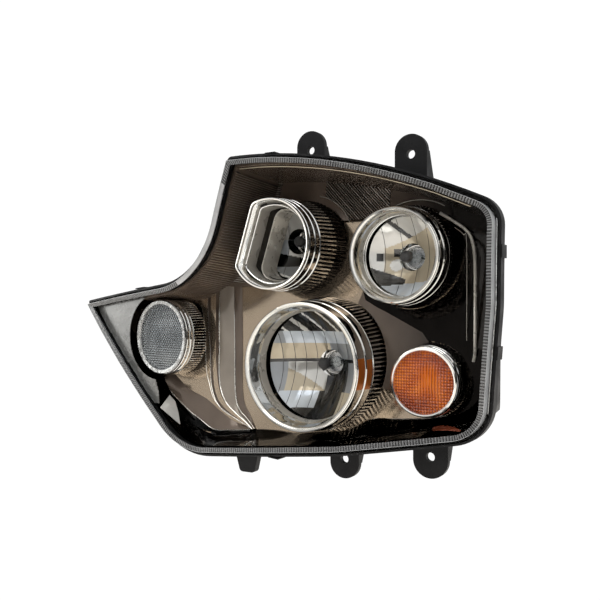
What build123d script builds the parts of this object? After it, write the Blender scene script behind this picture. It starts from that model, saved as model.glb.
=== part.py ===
from build123d import *
import os
from math import cos, radians, sin, sqrt

os.makedirs("parts", exist_ok=True)

# Truck headlamp, outboard side. Millimetres.
# +X is outboard, -Y is the beam's way, +Z is up. The origin is the centre of the
# upper outer bracket's bolt hole, at the bracket's front face.

# ---------------------------------------------------------------- driving sizes
# Lens surface: a vertical arc turned about a vertical axis behind the lamp.
LENS_X = -110.0
LENS_Y = -62.0
LENS_Z = -165.0
PLAN_RADIUS = 1000.0
CROWN_RADIUS = 1200.0
LENS_WALL = 3.0

# Outline of the lamp seen from the front: corner points (x, z).
TOP_LEFT = (-196.0, 9.5)
TOP_MIDDLE = (-58.0, -3.7)
TOP_RIGHT = (97.5, -57.0)
RIGHT_KNEE = (97.5, -150.0)
BOTTOM_RIGHT = (88.0, -273.0)
BOTTOM_KNEE = (-58.0, -297.0)
BOTTOM_LEFT = (-261.0, -318.0)
TIP = (-441.0, -145.0)
WAIST = (-224.6, -118.4)
ROUNDINGS = [
    (TOP_LEFT, 6.0),
    (TOP_RIGHT, 30.0),
    (RIGHT_KNEE, 150.0),
    (BOTTOM_RIGHT, 40.0),
    (BOTTOM_KNEE, 200.0),
    (BOTTOM_LEFT, 90.0),
    (TIP, 2.5),
    (WAIST, 85.0),
]

# How far each shell's edge lies inside the outline.
LENS_INSET = 2.5
WALL_INSET = 5.0
WALL = 3.0
BEZEL_INSET = 9.0
BEZEL_WALL = 2.5

# Distances behind the lens surface.
RIM_FRONT = 12.0
LENS_SKIRT = 16.0
CHANNEL_FLOOR = 20.0
RIM_BACK = 23.0
BEZEL_FRONT = 16.5
DEEP = 260.0
LENS_HOLLOW = 60.0
IN_FRONT = -5.0

# Construction limits: a plane ahead of everything, cuts that pass right through, and
# how far the lens arcs are drawn.
AHEAD = -90.0
BEHIND = 120.0
REACH = 160.0
CUT_FRONT = -20.0
CUT_LENGTH = 120.0
ARC_TOP = 60.0
ARC_FOOT = -390.0
SWEEP_START = -32.0
SWEEP = 56.0

# Housing bowl.
BOWL_FRONT = -45.0
BOWL_BACK = 66.0
BOWL_TAPER = 5.0
RIGHT_SLOPE = 17.0
LEFT_SLOPE = 13.0
OUTBOARD_X = 90.0
INBOARD_X = -225.0

# Beam lamps and small lamps: ring centre (x, z), front of the ring, and radii. A
# bowl is a reflector's front edge, seat is the bulb seat's depth along Y, and rise is
# how far the bulb's axis lies above the ring's centre.
LAMPS = {
    "low": dict(x=-102.0, z=-211.4, front=-45.0, ring=64.8, back=71.5, length=66.0,
                mouth=56.0, mouth_depth=28.0, bowl=57.5, bowl_depth=39.0, seat=48.0,
                rise=0.0, neck=44.0, turn=0.0),
    "high": dict(x=-8.8, z=-100.3, front=-25.0, ring=46.9, back=54.0, length=60.0,
                 mouth=40.5, mouth_depth=20.0, bowl=40.0, bowl_depth=33.0, seat=48.0,
                 rise=0.0, neck=40.0, turn=0.0),
    "aux": dict(x=-137.8, z=-86.3, front=-45.0, ring=47.0, back=52.0, length=79.0,
                bowl=38.0, bowl_depth=51.0, seat=58.0, rise=6.0, neck=36.0, turn=0.0),
    "turn": dict(x=20.6, z=-222.6, front=-20.0, ring=33.5, back=37.5, length=31.0,
                 mouth=30.5, mouth_depth=3.0, neck=14.2, turn=0.0),
    "marker": dict(x=-298.3, z=-186.4, front=-22.0, ring=42.9, back=44.2, length=31.0,
                   mouth=37.5, mouth_depth=3.0, neck=14.2, turn=-10.0),
}
BEAMS = ["low", "high", "aux"]
MOVING_BEAMS = ["low", "high"]
SMALL_LAMPS = ["turn", "marker"]
RING_WALL = 2.0
LIP = 4.0
NECK_START = {"turn": 48.0, "marker": 34.0}
NECK_END = {"turn": 90.0, "marker": 78.0}
SMALL_BULB = {"turn": 9.5, "marker": 5.0}
SMALL_BULB_LENGTH = 30.0
NECK_WALL = 3.0
GROMMET = 7.0
HOLDER_INSERT = 16.0
HOLDER_RIM = 3.3

# The auxiliary lamp's face is a circle with a leaning flat on its inboard side.
AUX_FLAT = 31.0
AUX_FLAT_Z = 9.0
AUX_LEAN = -17.7
AUX_FLARE = 3.6
COLLAR_TAPER = 5.0

# Bulb seat and its parts, measured rearwards in the lamp's frame.
BOSS_RADIUS = 28.5
BOSS_DEPTH = 10.0
THROAT = 15.0
BOWL_WALL = 2.2
BULB_HOLE = 10.5
BULB_RADIUS = 6.0
BULB_LENGTH = 43.0
FLANGE_RADIUS = 13.0
FLANGE_T = 2.8
CLIP_WIRE = 0.8
CLIP_LIFT = 3.9
CLIP_REACH = 22.0
CLIP_HALF = 9.0
CLIP_FOOT = 13.0
CLIP_BEND = 1.9
RUNNING = 0.08

# Aiming: ball joints that carry the moving reflectors, all at one depth.
BALL_Y = 42.0
PIVOT = (-20.0, -165.0)
LEVEL = (-20.0, -240.0)
SIDE = (-185.0, -165.0)
CARRIER_T = 4.0
BALL_RADIUS = 5.0
BALL_PLAY = 0.3
PIVOT_BALL = 6.0
SOCKET = 9.5
SOCKET_MOUTH = 7.4
CUP = 7.5
HUB_HALF = 6.0
PIVOT_HUB = 14.0
CUP_HUB = 10.0
PAD = 39.0
WIDE_ARM = 34.0
NARROW_ARM = 20.0
SCREW_CIRCLE = 33.8
SCREW_SHANK = 1.6
SCREW_HEAD = 3.2
SPINDLE_NECK = 2.6
LEVEL_SHAFT = 4.0
SIDE_SHAFT = 3.0

# Brackets: hole centre (x, z), half width, the way the lug points, and base z.
BRACKET_T = 6.0
BOLT_RADIUS = 4.5
BRACKETS = {
    "bracket_upper_outer": dict(x=0.0, z=0.0, half=17.0, end=20.0, base=-40.0),
    "bracket_upper_inner": dict(x=-113.0, z=14.0, half=16.5, end=20.5, base=-20.0),
    "bracket_lower_mid": dict(x=-73.0, z=-308.0, half=16.5, end=-20.0, base=-275.0),
    "bracket_lower_outer": dict(x=20.5, z=-297.0, half=18.0, end=-21.0, base=-262.0),
}
WEB_T = 4.0
WEB_TOP = 8.0
WEB_BASE = 26.0
FOOT_X = -195.0
FOOT_TOP = -300.0
FOOT_END = -334.5
FOOT_T = 8.0
FOOT_CORNER = 5.0
FOOT_TOP_SIDES = (-18.0, 19.0)
FOOT_END_SIDES = (-8.0, 11.0)


def facing(y):
    """Sketch plane across the lamp at depth y: local x is outboard, local y is up."""
    return Plane.XZ.offset(-y)


def finish(part, name):
    """Label a finished piece and write its file."""
    part.label = name
    export_step(part, f"parts/{name}.step")


# ---------------------------------------------------------------- shared shapes
def outline(y, inset=0.0):
    """The lamp's outline, moved inwards by inset, on the plane at depth y."""
    with BuildSketch(facing(y)) as shape:
        with BuildLine():
            ThreePointArc(TOP_LEFT, TOP_MIDDLE, TOP_RIGHT)
            Polyline(TOP_RIGHT, RIGHT_KNEE, BOTTOM_RIGHT, BOTTOM_KNEE, BOTTOM_LEFT,
                     TIP, WAIST, TOP_LEFT)
        make_face()
        for corner, radius in ROUNDINGS:
            fillet(shape.vertices().sort_by_distance(corner)[0], radius)
        if inset:
            offset(amount=-inset)
    return shape.sketch


def prism(inset, front=AHEAD, back=BEHIND):
    """A straight block of the outline's shape."""
    with BuildPart() as block:
        extrude(outline(front, inset), amount=front - back)
    return block.part


def crown_arc(depth):
    """Three points of the vertical lens arc, depth behind the lens surface."""
    points = []
    for z in (ARC_TOP, LENS_Z, ARC_FOOT):
        reach = sqrt((CROWN_RADIUS - depth) ** 2 - (z - LENS_Z) ** 2)
        points.append((PLAN_RADIUS - CROWN_RADIUS + reach, z))
    return points


def crown(front, back):
    """Everything between two depths behind the lens surface."""
    start = radians(SWEEP_START)
    outward = Vector(sin(start), -cos(start), 0)
    centre = Vector(LENS_X, LENS_Y + PLAN_RADIUS, 0)
    plane = Plane(origin=centre, x_dir=outward, z_dir=outward.cross(Vector(0, 0, 1)))
    front_arc = crown_arc(front)
    back_arc = crown_arc(back)
    with BuildPart() as layer:
        with BuildSketch(plane):
            with BuildLine():
                ThreePointArc(*front_arc)
                ThreePointArc(*back_arc)
                Line(front_arc[0], back_arc[0])
                Line(front_arc[-1], back_arc[-1])
            make_face()
        revolve(axis=Axis(centre, (0, 0, 1)), revolution_arc=SWEEP)
    return layer.part


def bowl(inset):
    """The housing's tapered bowl, inset from the outline, as a solid block.

    Its outboard side leans in, and its back steps forward towards the tip.
    """
    depth = inset - WALL_INSET
    lean = Vector(cos(radians(RIGHT_SLOPE)), sin(radians(RIGHT_SLOPE)), 0)
    rear = Vector(-sin(radians(LEFT_SLOPE)), cos(radians(LEFT_SLOPE)), 0)
    outboard = Plane(origin=(OUTBOARD_X, 0.0, 0.0), z_dir=lean).offset(-depth)
    inboard = Plane(origin=(INBOARD_X, BOWL_BACK, 0.0), z_dir=rear).offset(-depth)
    with BuildPart() as block:
        extrude(outline(BOWL_FRONT, inset), amount=BOWL_FRONT - BOWL_BACK + depth,
                taper=BOWL_TAPER)
        split(bisect_by=outboard, keep=Keep.BOTTOM)
        split(bisect_by=inboard, keep=Keep.BOTTOM)
    return block.part


def lamp_plane(lamp):
    """Plane through a lamp's axis: local x is the radius, local y runs rearwards."""
    angle = radians(lamp["turn"])
    origin = (lamp["x"], lamp["front"], lamp["z"])
    return Plane(origin=origin, x_dir=(cos(angle), sin(angle), 0), z_dir=(0, 0, 1))


def lamp_axis(lamp):
    """A lamp's axis, pointing rearwards."""
    plane = lamp_plane(lamp)
    return Axis(plane.origin, plane.y_dir)


def across(lamp, depth):
    """Plane across a lamp's axis, depth behind its ring's front, facing forwards."""
    plane = lamp_plane(lamp)
    return Plane(origin=plane.origin + plane.y_dir * depth, x_dir=plane.x_dir,
                 z_dir=-plane.y_dir)


def turned(lamp, points, mode=Mode.ADD):
    """A ring turned about a lamp's axis from a closed profile (radius, depth)."""
    with BuildSketch(lamp_plane(lamp)) as profile:
        with BuildLine():
            Polyline(*points, close=True)
        make_face()
    revolve(profile.sketch, axis=lamp_axis(lamp), mode=mode)


def tube(lamp, inner, outer, start, stop):
    """A tube, or a rod where inner is 0, on a lamp's axis."""
    turned(lamp, [(inner, start), (outer, start), (outer, stop), (inner, stop)])


def seat_depth(lamp):
    """Depth of the bulb seat behind the ring's front."""
    return lamp["seat"] - lamp["front"]


def optics(name):
    """A beam lamp's sizes with its centre on the bulb's axis."""
    lamp = LAMPS[name]
    return dict(lamp, z=lamp["z"] + lamp["rise"])


# ---------------------------------------------------------------- lens
def make_lens():
    hollow = prism(LENS_INSET + LENS_WALL) & crown(LENS_WALL, LENS_HOLLOW)
    layer = crown(0.0, LENS_SKIRT)
    with BuildPart() as lens_cover:
        extrude(outline(AHEAD, LENS_INSET), amount=-REACH)
        add(layer, mode=Mode.INTERSECT)
        add(hollow, mode=Mode.SUBTRACT)
    finish(lens_cover.part, "lens_cover")

    bead_core = prism(LENS_INSET + LENS_WALL)
    bead_layer = crown(LENS_SKIRT, CHANNEL_FLOOR)
    with BuildPart() as lens_seal:
        extrude(outline(AHEAD, LENS_INSET), amount=-REACH)
        add(bead_layer, mode=Mode.INTERSECT)
        add(bead_core, mode=Mode.SUBTRACT)
    finish(lens_seal.part, "lens_seal")


# ---------------------------------------------------------------- housing
CONNECTOR = (46.0, -166.0)
VENTS = [(-205.0, -250.0), (54.0, -78.0)]
CHANNEL_OUT = 2.2
CHANNEL_IN = 5.9
RIM_INSIDE = 8.0
CONNECTOR_HOLE = (24.0, 14.0)
LEVEL_HOLE = 9.0
SIDE_HOLE = 8.0
VENT_HOLE = 3.0
PIVOT_BOSS = 9.0
STUD = 3.0
NECK_OPENING = 30.0
NECK_OPENING_LENGTH = 80.0

# Collars for the rear caps, and their lugs.
COLLAR_OVERLAP = 6.0
COLLAR_LENGTH = 15.0
LUG_Y = 71.6
LUG_T = 2.0
LUG_RISE = 1.4
LUG_WIDTH = 12.0


def make_housing():
    rim = prism(0.0) & crown(RIM_FRONT, RIM_BACK)
    front_void = prism(RIM_INSIDE) & crown(IN_FRONT, CHANNEL_FLOOR)
    channel = (prism(CHANNEL_OUT) - prism(CHANNEL_IN)) & crown(0.0, CHANNEL_FLOOR)
    behind = crown(CHANNEL_FLOOR, DEEP)
    outside = bowl(WALL_INSET)
    inside = bowl(RIM_INSIDE)
    with BuildPart() as housing:
        add(outside)
        add(behind, mode=Mode.INTERSECT)
        add(rim)
        add(front_void, mode=Mode.SUBTRACT)
        add(inside, mode=Mode.SUBTRACT)
        add(channel, mode=Mode.SUBTRACT)
        for name in BEAMS:
            cap_neck(optics(name))
        for name in SMALL_LAMPS:
            lamp = LAMPS[name]
            with BuildSketch(across(lamp, NECK_OPENING)):
                Circle(lamp["neck"] + GROMMET)
            extrude(amount=-NECK_OPENING_LENGTH, mode=Mode.SUBTRACT)
        with BuildSketch(facing(BOWL_BACK)):
            with Locations(LEVEL):
                Circle(LEVEL_HOLE)
            with Locations(SIDE):
                Circle(SIDE_HOLE)
            with Locations(CONNECTOR):
                Rectangle(*CONNECTOR_HOLE)
            with Locations(*VENTS):
                Circle(VENT_HOLE)
        extrude(amount=8.0, both=True, mode=Mode.SUBTRACT)
        with BuildSketch(facing(BOWL_BACK - WALL)):
            with Locations(PIVOT):
                Circle(PIVOT_BOSS)
        extrude(amount=6.0)
        with BuildSketch(facing(BOWL_BACK)):
            with Locations(PIVOT):
                Circle(STUD)
        extrude(amount=20.0, both=True, mode=Mode.SUBTRACT)
    finish(housing.part, "housing")


def cap_neck(lamp):
    """The collar that a rear cap locks onto, with its three bayonet lugs."""
    inner = lamp["neck"]
    wall_front = BOWL_BACK - COLLAR_OVERLAP
    centre = (lamp["x"], lamp["z"])
    with BuildSketch(facing(wall_front)) as collar:
        with Locations(centre):
            Circle(inner + WALL)
    extrude(collar.sketch, amount=-COLLAR_LENGTH)
    with BuildSketch(facing(LUG_Y)) as lugs:
        with Locations(centre):
            with PolarLocations(inner + WALL + 0.2, 3, start_angle=90):
                Rectangle(LUG_RISE, LUG_WIDTH)
    extrude(lugs.sketch, amount=-LUG_T)
    with BuildSketch(facing(wall_front - 4.0)) as bore:
        with Locations(centre):
            Circle(inner)
    extrude(bore.sketch, amount=-40.0, mode=Mode.SUBTRACT)


def make_brackets():
    solid_housing = bowl(WALL_INSET) + (prism(0.0) & crown(RIM_FRONT, RIM_BACK))
    for name, spec in BRACKETS.items():
        up = 1 if spec["end"] > 0 else -1
        shoulder = spec["z"] + spec["end"] - up * spec["half"]
        with BuildPart() as bracket:
            with BuildSketch(facing(0.0)):
                with Locations((spec["x"], shoulder)):
                    Circle(spec["half"])
                with Locations((spec["x"], (shoulder + spec["base"]) / 2)):
                    Rectangle(2 * spec["half"], abs(shoulder - spec["base"]))
            extrude(amount=-BRACKET_T)
            web_x = spec["x"] + spec["half"] - WEB_T
            with BuildSketch(Plane.YZ.offset(web_x)):
                with BuildLine():
                    Polyline((0.0, shoulder), (WEB_TOP, shoulder),
                             (WEB_BASE, spec["base"]), (0.0, spec["base"]), close=True)
                make_face()
            extrude(amount=WEB_T)
            with BuildSketch(facing(0.0)):
                with Locations((spec["x"], spec["z"])):
                    Circle(BOLT_RADIUS)
            extrude(amount=-BRACKET_T, mode=Mode.SUBTRACT)
            add(solid_housing, mode=Mode.SUBTRACT)
        piece = bracket.part.solids().sort_by(SortBy.VOLUME)[-1]
        finish(Part(piece.wrapped), name)

    with BuildPart() as foot:
        with BuildSketch(facing(0.0)):
            with BuildLine():
                Polyline((FOOT_X + FOOT_TOP_SIDES[0], FOOT_TOP),
                         (FOOT_X + FOOT_TOP_SIDES[1], FOOT_TOP),
                         (FOOT_X + FOOT_END_SIDES[1], FOOT_END),
                         (FOOT_X + FOOT_END_SIDES[0], FOOT_END), close=True)
            make_face()
        extrude(amount=-FOOT_T)
        fillet(foot.edges().filter_by(Axis.Y).group_by(Axis.Z)[0], FOOT_CORNER)
        with BuildSketch(Plane.YZ.offset(FOOT_X - WEB_T / 2)):
            with BuildLine():
                Polyline((0.0, FOOT_END + 12.0), (24.0, FOOT_TOP - 5.0),
                         (24.0, FOOT_TOP + 5.0), (0.0, FOOT_TOP + 5.0), close=True)
            make_face()
        extrude(amount=WEB_T)
        add(solid_housing, mode=Mode.SUBTRACT)
    piece = foot.part.solids().sort_by(SortBy.VOLUME)[-1]
    finish(Part(piece.wrapped), "lower_inner_foot")


# Where each spring clip sits on the rim (x, z), and the way it faces in degrees.
LENS_CLIPS = [(-325.0, -130.9, 97.1), (-133.0, -304.8, -95.9), (97.5, -100.0, 0.0),
              (94.2, -192.0, -4.4), (-140.0, 7.2, 91.0), (-362.0, -219.5, -136.0)]
SPRING_T = 1.2
SPRING_WIDTH = 12.0
SPRING_OUT = 0.85
SPRING_FRONT = 10.5
SPRING_LENGTH = 15.0
HOOK_BACK = 24.3
HOOK_REACH = 4.0
HOOK_IN = -1.0


def make_lens_clips():
    """Spring clips that grip the lens and the housing's rim."""
    solid_housing = bowl(WALL_INSET) + (prism(0.0) & crown(RIM_FRONT, RIM_BACK))
    with BuildPart() as lens_clips:
        for x, z, angle in LENS_CLIPS:
            across_rim = sqrt(PLAN_RADIUS ** 2 - (x - LENS_X) ** 2)
            y = LENS_Y + PLAN_RADIUS - across_rim + (z - LENS_Z) ** 2 / (2 * CROWN_RADIUS)
            with BuildSketch(facing(y + SPRING_FRONT)):
                with Locations(Location((x, z), angle)):
                    with Locations((SPRING_OUT, 0.0)):
                        Rectangle(SPRING_T, SPRING_WIDTH)
            extrude(amount=-SPRING_LENGTH)
            with BuildSketch(facing(y + HOOK_BACK)):
                with Locations(Location((x, z), angle)):
                    with Locations((HOOK_IN, 0.0)):
                        Rectangle(HOOK_REACH, SPRING_WIDTH)
            extrude(amount=-SPRING_T)
        add(solid_housing, mode=Mode.SUBTRACT)
    finish(lens_clips.part, "lens_clips")


# ---------------------------------------------------------------- bezel
FLOOR_Y = 35.0
FLOOR_Z = -90.0
FLOOR_RAKE = 0.2
FLOOR = Plane(origin=(0.0, FLOOR_Y, FLOOR_Z), x_dir=(1, 0, 0),
              z_dir=(0.0, 1.0, -FLOOR_RAKE))
SHELF_Z = -112.0
BARREL_GAP = 0.3
PANEL_BARREL_GAP = 0.6
PANEL_SIDE_GAP = 0.4
PANEL_GAP = 0.4
PANEL_FRONT = 3.2


def make_bezel():
    rim = prism(BEZEL_INSET - 0.5) & crown(BEZEL_FRONT, BEZEL_FRONT + BEZEL_WALL)
    behind = crown(BEZEL_FRONT, DEEP)
    outside = bowl(BEZEL_INSET)
    cavity = split(bowl(BEZEL_INSET + BEZEL_WALL), bisect_by=FLOOR, keep=Keep.BOTTOM)
    with BuildPart() as bezel:
        add(outside)
        split(bisect_by=FLOOR.offset(BEZEL_WALL), keep=Keep.BOTTOM)
        add(behind, mode=Mode.INTERSECT)
        add(rim)
        add(cavity, mode=Mode.SUBTRACT)
        for lamp in LAMPS.values():
            with BuildSketch(across(lamp, CUT_FRONT)):
                Circle(lamp["back"] + BARREL_GAP)
            extrude(amount=-CUT_LENGTH, mode=Mode.SUBTRACT)
    piece = bezel.part.solids().sort_by(SortBy.VOLUME)[-1]
    finish(Part(piece.wrapped), "bezel")


def make_upper_bezel():
    """The textured panel that surrounds the two upper lamps, in front of the bezel."""
    front = FLOOR.offset(-PANEL_FRONT)
    shape = bowl(BEZEL_INSET + BEZEL_WALL + PANEL_SIDE_GAP)
    shape = split(shape, bisect_by=FLOOR.offset(-PANEL_GAP), keep=Keep.BOTTOM)
    shape = split(shape, bisect_by=front, keep=Keep.TOP)
    below = Plane(origin=(0, 0, SHELF_Z), x_dir=(1, 0, 0), z_dir=(0, 0, 1))
    shape = split(shape, bisect_by=below, keep=Keep.TOP)
    with BuildPart() as upper_bezel:
        add(shape)
        for name in BEAMS:
            lamp = LAMPS[name]
            with BuildSketch(across(lamp, CUT_FRONT)):
                Circle(lamp["back"] + PANEL_BARREL_GAP)
            extrude(amount=-CUT_LENGTH, mode=Mode.SUBTRACT)
    piece = upper_bezel.part.solids().sort_by(SortBy.VOLUME)[-1]
    finish(Part(piece.wrapped), "upper_bezel")


# ---------------------------------------------------------------- rings
def make_ring(name, lamp):
    """A bezel ring: rolled front lip, inner funnel, and flared outer barrel."""
    ring = lamp["ring"]
    mouth = lamp["mouth"]
    depth = lamp["mouth_depth"]
    back = lamp["back"]
    length = lamp["length"]
    funnel = [(mouth + 1.5, depth + 1.0), (mouth, depth)]
    if name in BEAMS:
        knee = 0.55 * depth
        funnel = [(mouth + 3.5, knee + 1.0), (mouth + 1.8, depth), (mouth, depth),
                  (mouth + 1.5, knee)]
    with BuildPart() as bezel_ring:
        turned(lamp, [(ring - 1.0, 0.0), (ring, 1.5), (back, length),
                      (back - RING_WALL, length), (ring - RING_WALL, LIP)]
               + funnel + [(ring - LIP, 0.0)])
    finish(bezel_ring.part, f"{name}_ring")


def aux_face(depth, radius, flat, corner=9.0):
    """A circle with a leaning flat on its inboard side, rounded where they meet."""
    lamp = LAMPS["aux"]
    with BuildSketch(facing(lamp["front"] + depth)) as face:
        with Locations((lamp["x"], lamp["z"])):
            Circle(radius)
            with Locations(Location((-flat, AUX_FLAT_Z), AUX_LEAN)):
                Rectangle(80.0, 140.0, align=(Align.MAX, Align.CENTER),
                          mode=Mode.SUBTRACT)
        fillet(face.vertices(), corner)
    return face.sketch


def make_aux_ring():
    """The auxiliary lamp's frame: a flat-sided barrel, and a collar inside its lip."""
    lamp = LAMPS["aux"]
    radius = lamp["ring"]
    inside = radius - RING_WALL
    with BuildPart() as aux_ring:
        extrude(aux_face(0.0, radius, AUX_FLAT), amount=-lamp["length"],
                taper=-AUX_FLARE)
        extrude(aux_face(3.0, inside, AUX_FLAT - RING_WALL), amount=-lamp["length"],
                taper=-AUX_FLARE, mode=Mode.SUBTRACT)
        extrude(aux_face(1.0, radius - 3.0, AUX_FLAT - 3.0), amount=-27.0,
                taper=COLLAR_TAPER)
        extrude(aux_face(-1.0, radius - 4.6, AUX_FLAT - 4.6), amount=-32.0,
                taper=COLLAR_TAPER, mode=Mode.SUBTRACT)
    finish(aux_ring.part, "aux_ring")

    with BuildPart() as aux_inner_frame:
        extrude(aux_face(28.2, radius - 0.9, AUX_FLAT - 0.9), amount=-2.8)
        extrude(aux_face(23.0, 38.5, 12.0, 14.0), amount=-26.0)
        extrude(aux_face(21.0, 36.5, 10.0, 12.0), amount=-30.0, mode=Mode.SUBTRACT)
    finish(aux_inner_frame.part, "aux_inner_frame")


# ---------------------------------------------------------------- reflectors
def make_reflector(name, lamp):
    """A deep bowl with a boss at its back that the bulb seats on."""
    seat = seat_depth(lamp)
    bowl_edge = lamp["bowl"]
    edge = lamp["bowl_depth"]
    boss_front = seat - BOSS_DEPTH
    half_way = (bowl_edge + THROAT) / 2
    share = (half_way ** 2 - THROAT ** 2) / (bowl_edge ** 2 - THROAT ** 2)
    middle = (half_way, boss_front - share * (boss_front - edge))
    wall = BOWL_WALL
    with BuildPart() as reflector:
        with BuildSketch(lamp_plane(lamp)):
            with BuildLine():
                ThreePointArc((bowl_edge, edge), middle, (THROAT, boss_front))
                ThreePointArc((bowl_edge + wall, edge),
                              (middle[0] + 0.7 * wall, middle[1] + 0.7 * wall),
                              (THROAT + 1.0, boss_front + wall))
                Line((bowl_edge, edge), (bowl_edge + wall, edge))
                Line((THROAT, boss_front), (THROAT + 1.0, boss_front + wall))
            make_face()
        revolve(axis=lamp_axis(lamp))
        tube(lamp, BULB_HOLE, BOSS_RADIUS, boss_front, seat)
        turned(lamp, [(0.0, boss_front - 5.0), (THROAT, boss_front - 5.0),
                      (BULB_HOLE, boss_front + 2.0), (0.0, boss_front + 2.0)],
               mode=Mode.SUBTRACT)
        seat_plane = across(lamp, seat)
        with BuildSketch(seat_plane):
            with Locations((0.0, CLIP_REACH)):
                Rectangle(6.0, 4.4)
            with Locations((-CLIP_FOOT, -CLIP_REACH - 2.2),
                           (CLIP_FOOT, -CLIP_REACH - 2.2)):
                Rectangle(3.0, 2.0)
        extrude(amount=-6.4)
        with BuildSketch(Plane.YZ.offset(lamp["x"] - 4.0)):
            with Locations((lamp["seat"] + CLIP_LIFT, lamp["z"] + CLIP_REACH)):
                Circle(CLIP_WIRE + RUNNING)
        extrude(amount=8.0, mode=Mode.SUBTRACT)
        if name == "aux":
            flat = (0.7 - AUX_FLAT, AUX_FLAT_Z - lamp["rise"])
            with BuildSketch(across(lamp, edge - 4.0)):
                with Locations(Location(flat, AUX_LEAN)):
                    Rectangle(60.0, 140.0, align=(Align.MAX, Align.CENTER))
            extrude(amount=-40.0, mode=Mode.SUBTRACT)
    finish(reflector.part, f"{name}_reflector")


def make_small_reflector(name, lamp):
    """A cup behind a small lens, with a neck for its bulb holder."""
    mouth = lamp["mouth"] - 0.6
    neck = lamp["neck"]
    waist = NECK_START[name]
    end = NECK_END[name]
    with BuildPart() as reflector:
        turned(lamp, [(mouth, 7.5), (mouth + 1.8, 7.5), (neck + NECK_WALL, waist),
                      (neck + NECK_WALL, end), (neck, end), (neck, waist)])
    finish(reflector.part, f"{name}_reflector")


def make_small_lens(name, lamp):
    """A slightly domed disc that sits in a small ring."""
    mouth = lamp["mouth"]
    with BuildPart() as lens:
        turned(lamp, [(0.0, 1.2), (mouth * 0.6, 2.2), (mouth, 4.2), (mouth, 7.2),
                      (mouth * 0.6, 5.2), (0.0, 4.2)])
    finish(lens.part, f"{name}_lens")


# ---------------------------------------------------------------- beam bulbs
def make_bulb(name, lamp):
    seat = seat_depth(lamp)
    tip = seat - BULB_LENGTH
    inner = BULB_RADIUS - 0.9
    with BuildPart() as bulb:
        with BuildSketch(lamp_plane(lamp)):
            with BuildLine():
                Polyline((0.0, tip + 1.0), (0.0, tip), (2.0, tip))
                RadiusArc((2.0, tip), (BULB_RADIUS, tip + 4.0), -4.0)
                Polyline((BULB_RADIUS, tip + 4.0), (BULB_RADIUS, seat - 6.0),
                         (inner, seat - 6.0), (inner, tip + 4.5))
                RadiusArc((inner, tip + 4.5), (1.6, tip + 1.0), 3.5)
                Line((1.6, tip + 1.0), (0.0, tip + 1.0))
            make_face()
        revolve(axis=lamp_axis(lamp))
    finish(bulb.part, f"{name}_bulb_glass")

    with BuildPart() as base:
        turned(lamp, [(0.0, seat - 9.0), (BULB_RADIUS - 1.0, seat - 9.0),
                      (BULB_RADIUS - 1.0, seat - 6.0), (9.0, seat - 6.0),
                      (9.0, seat), (FLANGE_RADIUS, seat),
                      (FLANGE_RADIUS, seat + FLANGE_T), (0.0, seat + FLANGE_T)])
        with BuildSketch(across(lamp, seat + FLANGE_T)):
            Rectangle(14.0, 12.0)
        extrude(amount=-10.0)
        with BuildSketch(across(lamp, seat + FLANGE_T + 10.0)):
            with Locations((-3.0, 0.0), (3.0, 0.0)):
                Rectangle(0.8, 6.0)
        extrude(amount=-8.0)
    finish(base.part, f"{name}_bulb_base")


def make_clip(name, lamp):
    """Wire clip that holds the bulb down and swings on its own cross bar."""
    plane = across(lamp, seat_depth(lamp) + CLIP_LIFT)
    reach = CLIP_REACH
    half = CLIP_HALF
    with BuildPart() as clip:
        with BuildLine(plane):
            FilletPolyline((-CLIP_FOOT, -reach), (-half, -reach + 1.5), (-half, reach),
                           (half, reach), (half, -reach + 1.5), (CLIP_FOOT, -reach),
                           radius=CLIP_BEND)
        start = plane.from_local_coords(Vector(-CLIP_FOOT, -reach, 0.0))
        heading = plane.x_dir * 4.0 + plane.y_dir * 1.5
        with BuildSketch(Plane(origin=start, z_dir=heading)):
            Circle(CLIP_WIRE)
        sweep()
    finish(clip.part, f"{name}_bulb_clip")


# Depths (y) of a rear cap's skirt, shoulder and back.
CAP_SKIRT = 69.0
CAP_SHOULDER = 79.0
CAP_BACK = 104.0
GRIP_WIDTH = 7.0
GRIP_RISE = 5.0
GRIP_EDGE = 1.5


def make_cap(name, lamp):
    """Rear cap: bayonet skirt, dome and grip bar, and the rubber ring under it."""
    neck = lamp["neck"]
    front = lamp["front"]
    skirt = CAP_SKIRT - front
    shoulder = CAP_SHOULDER - front
    back = CAP_BACK - front
    with BuildPart() as cap:
        turned(lamp, [(neck + 4.5, skirt), (neck + 7.0, skirt), (neck + 7.0, shoulder),
                      (neck + 1.0, shoulder + 2.2), (neck - 2.0, back - 3.0),
                      (neck - 5.0, back), (0.0, back), (0.0, back - 2.2),
                      (neck - 6.0, back - 2.2), (neck - 4.2, back - 4.0),
                      (neck - 1.2, shoulder), (neck + 4.5, shoulder - 2.2)])
        with BuildSketch(across(lamp, skirt + 0.4)):
            with PolarLocations(neck + 4.4, 3, start_angle=90):
                Rectangle(2.0, LUG_WIDTH)
        extrude(amount=-1.8)
        with BuildSketch(across(lamp, back)):
            SlotOverall(1.5 * neck, GRIP_WIDTH)
        extrude(amount=-GRIP_RISE)
        fillet(cap.faces().sort_by(Axis.Y)[-1].edges(), GRIP_EDGE)
    finish(cap.part, f"{name}_cap")

    with BuildPart() as seal:
        tube(lamp, neck + WALL, neck + 7.5, BOWL_BACK - front, skirt - 0.3)
    finish(seal.part, f"{name}_cap_seal")


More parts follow.
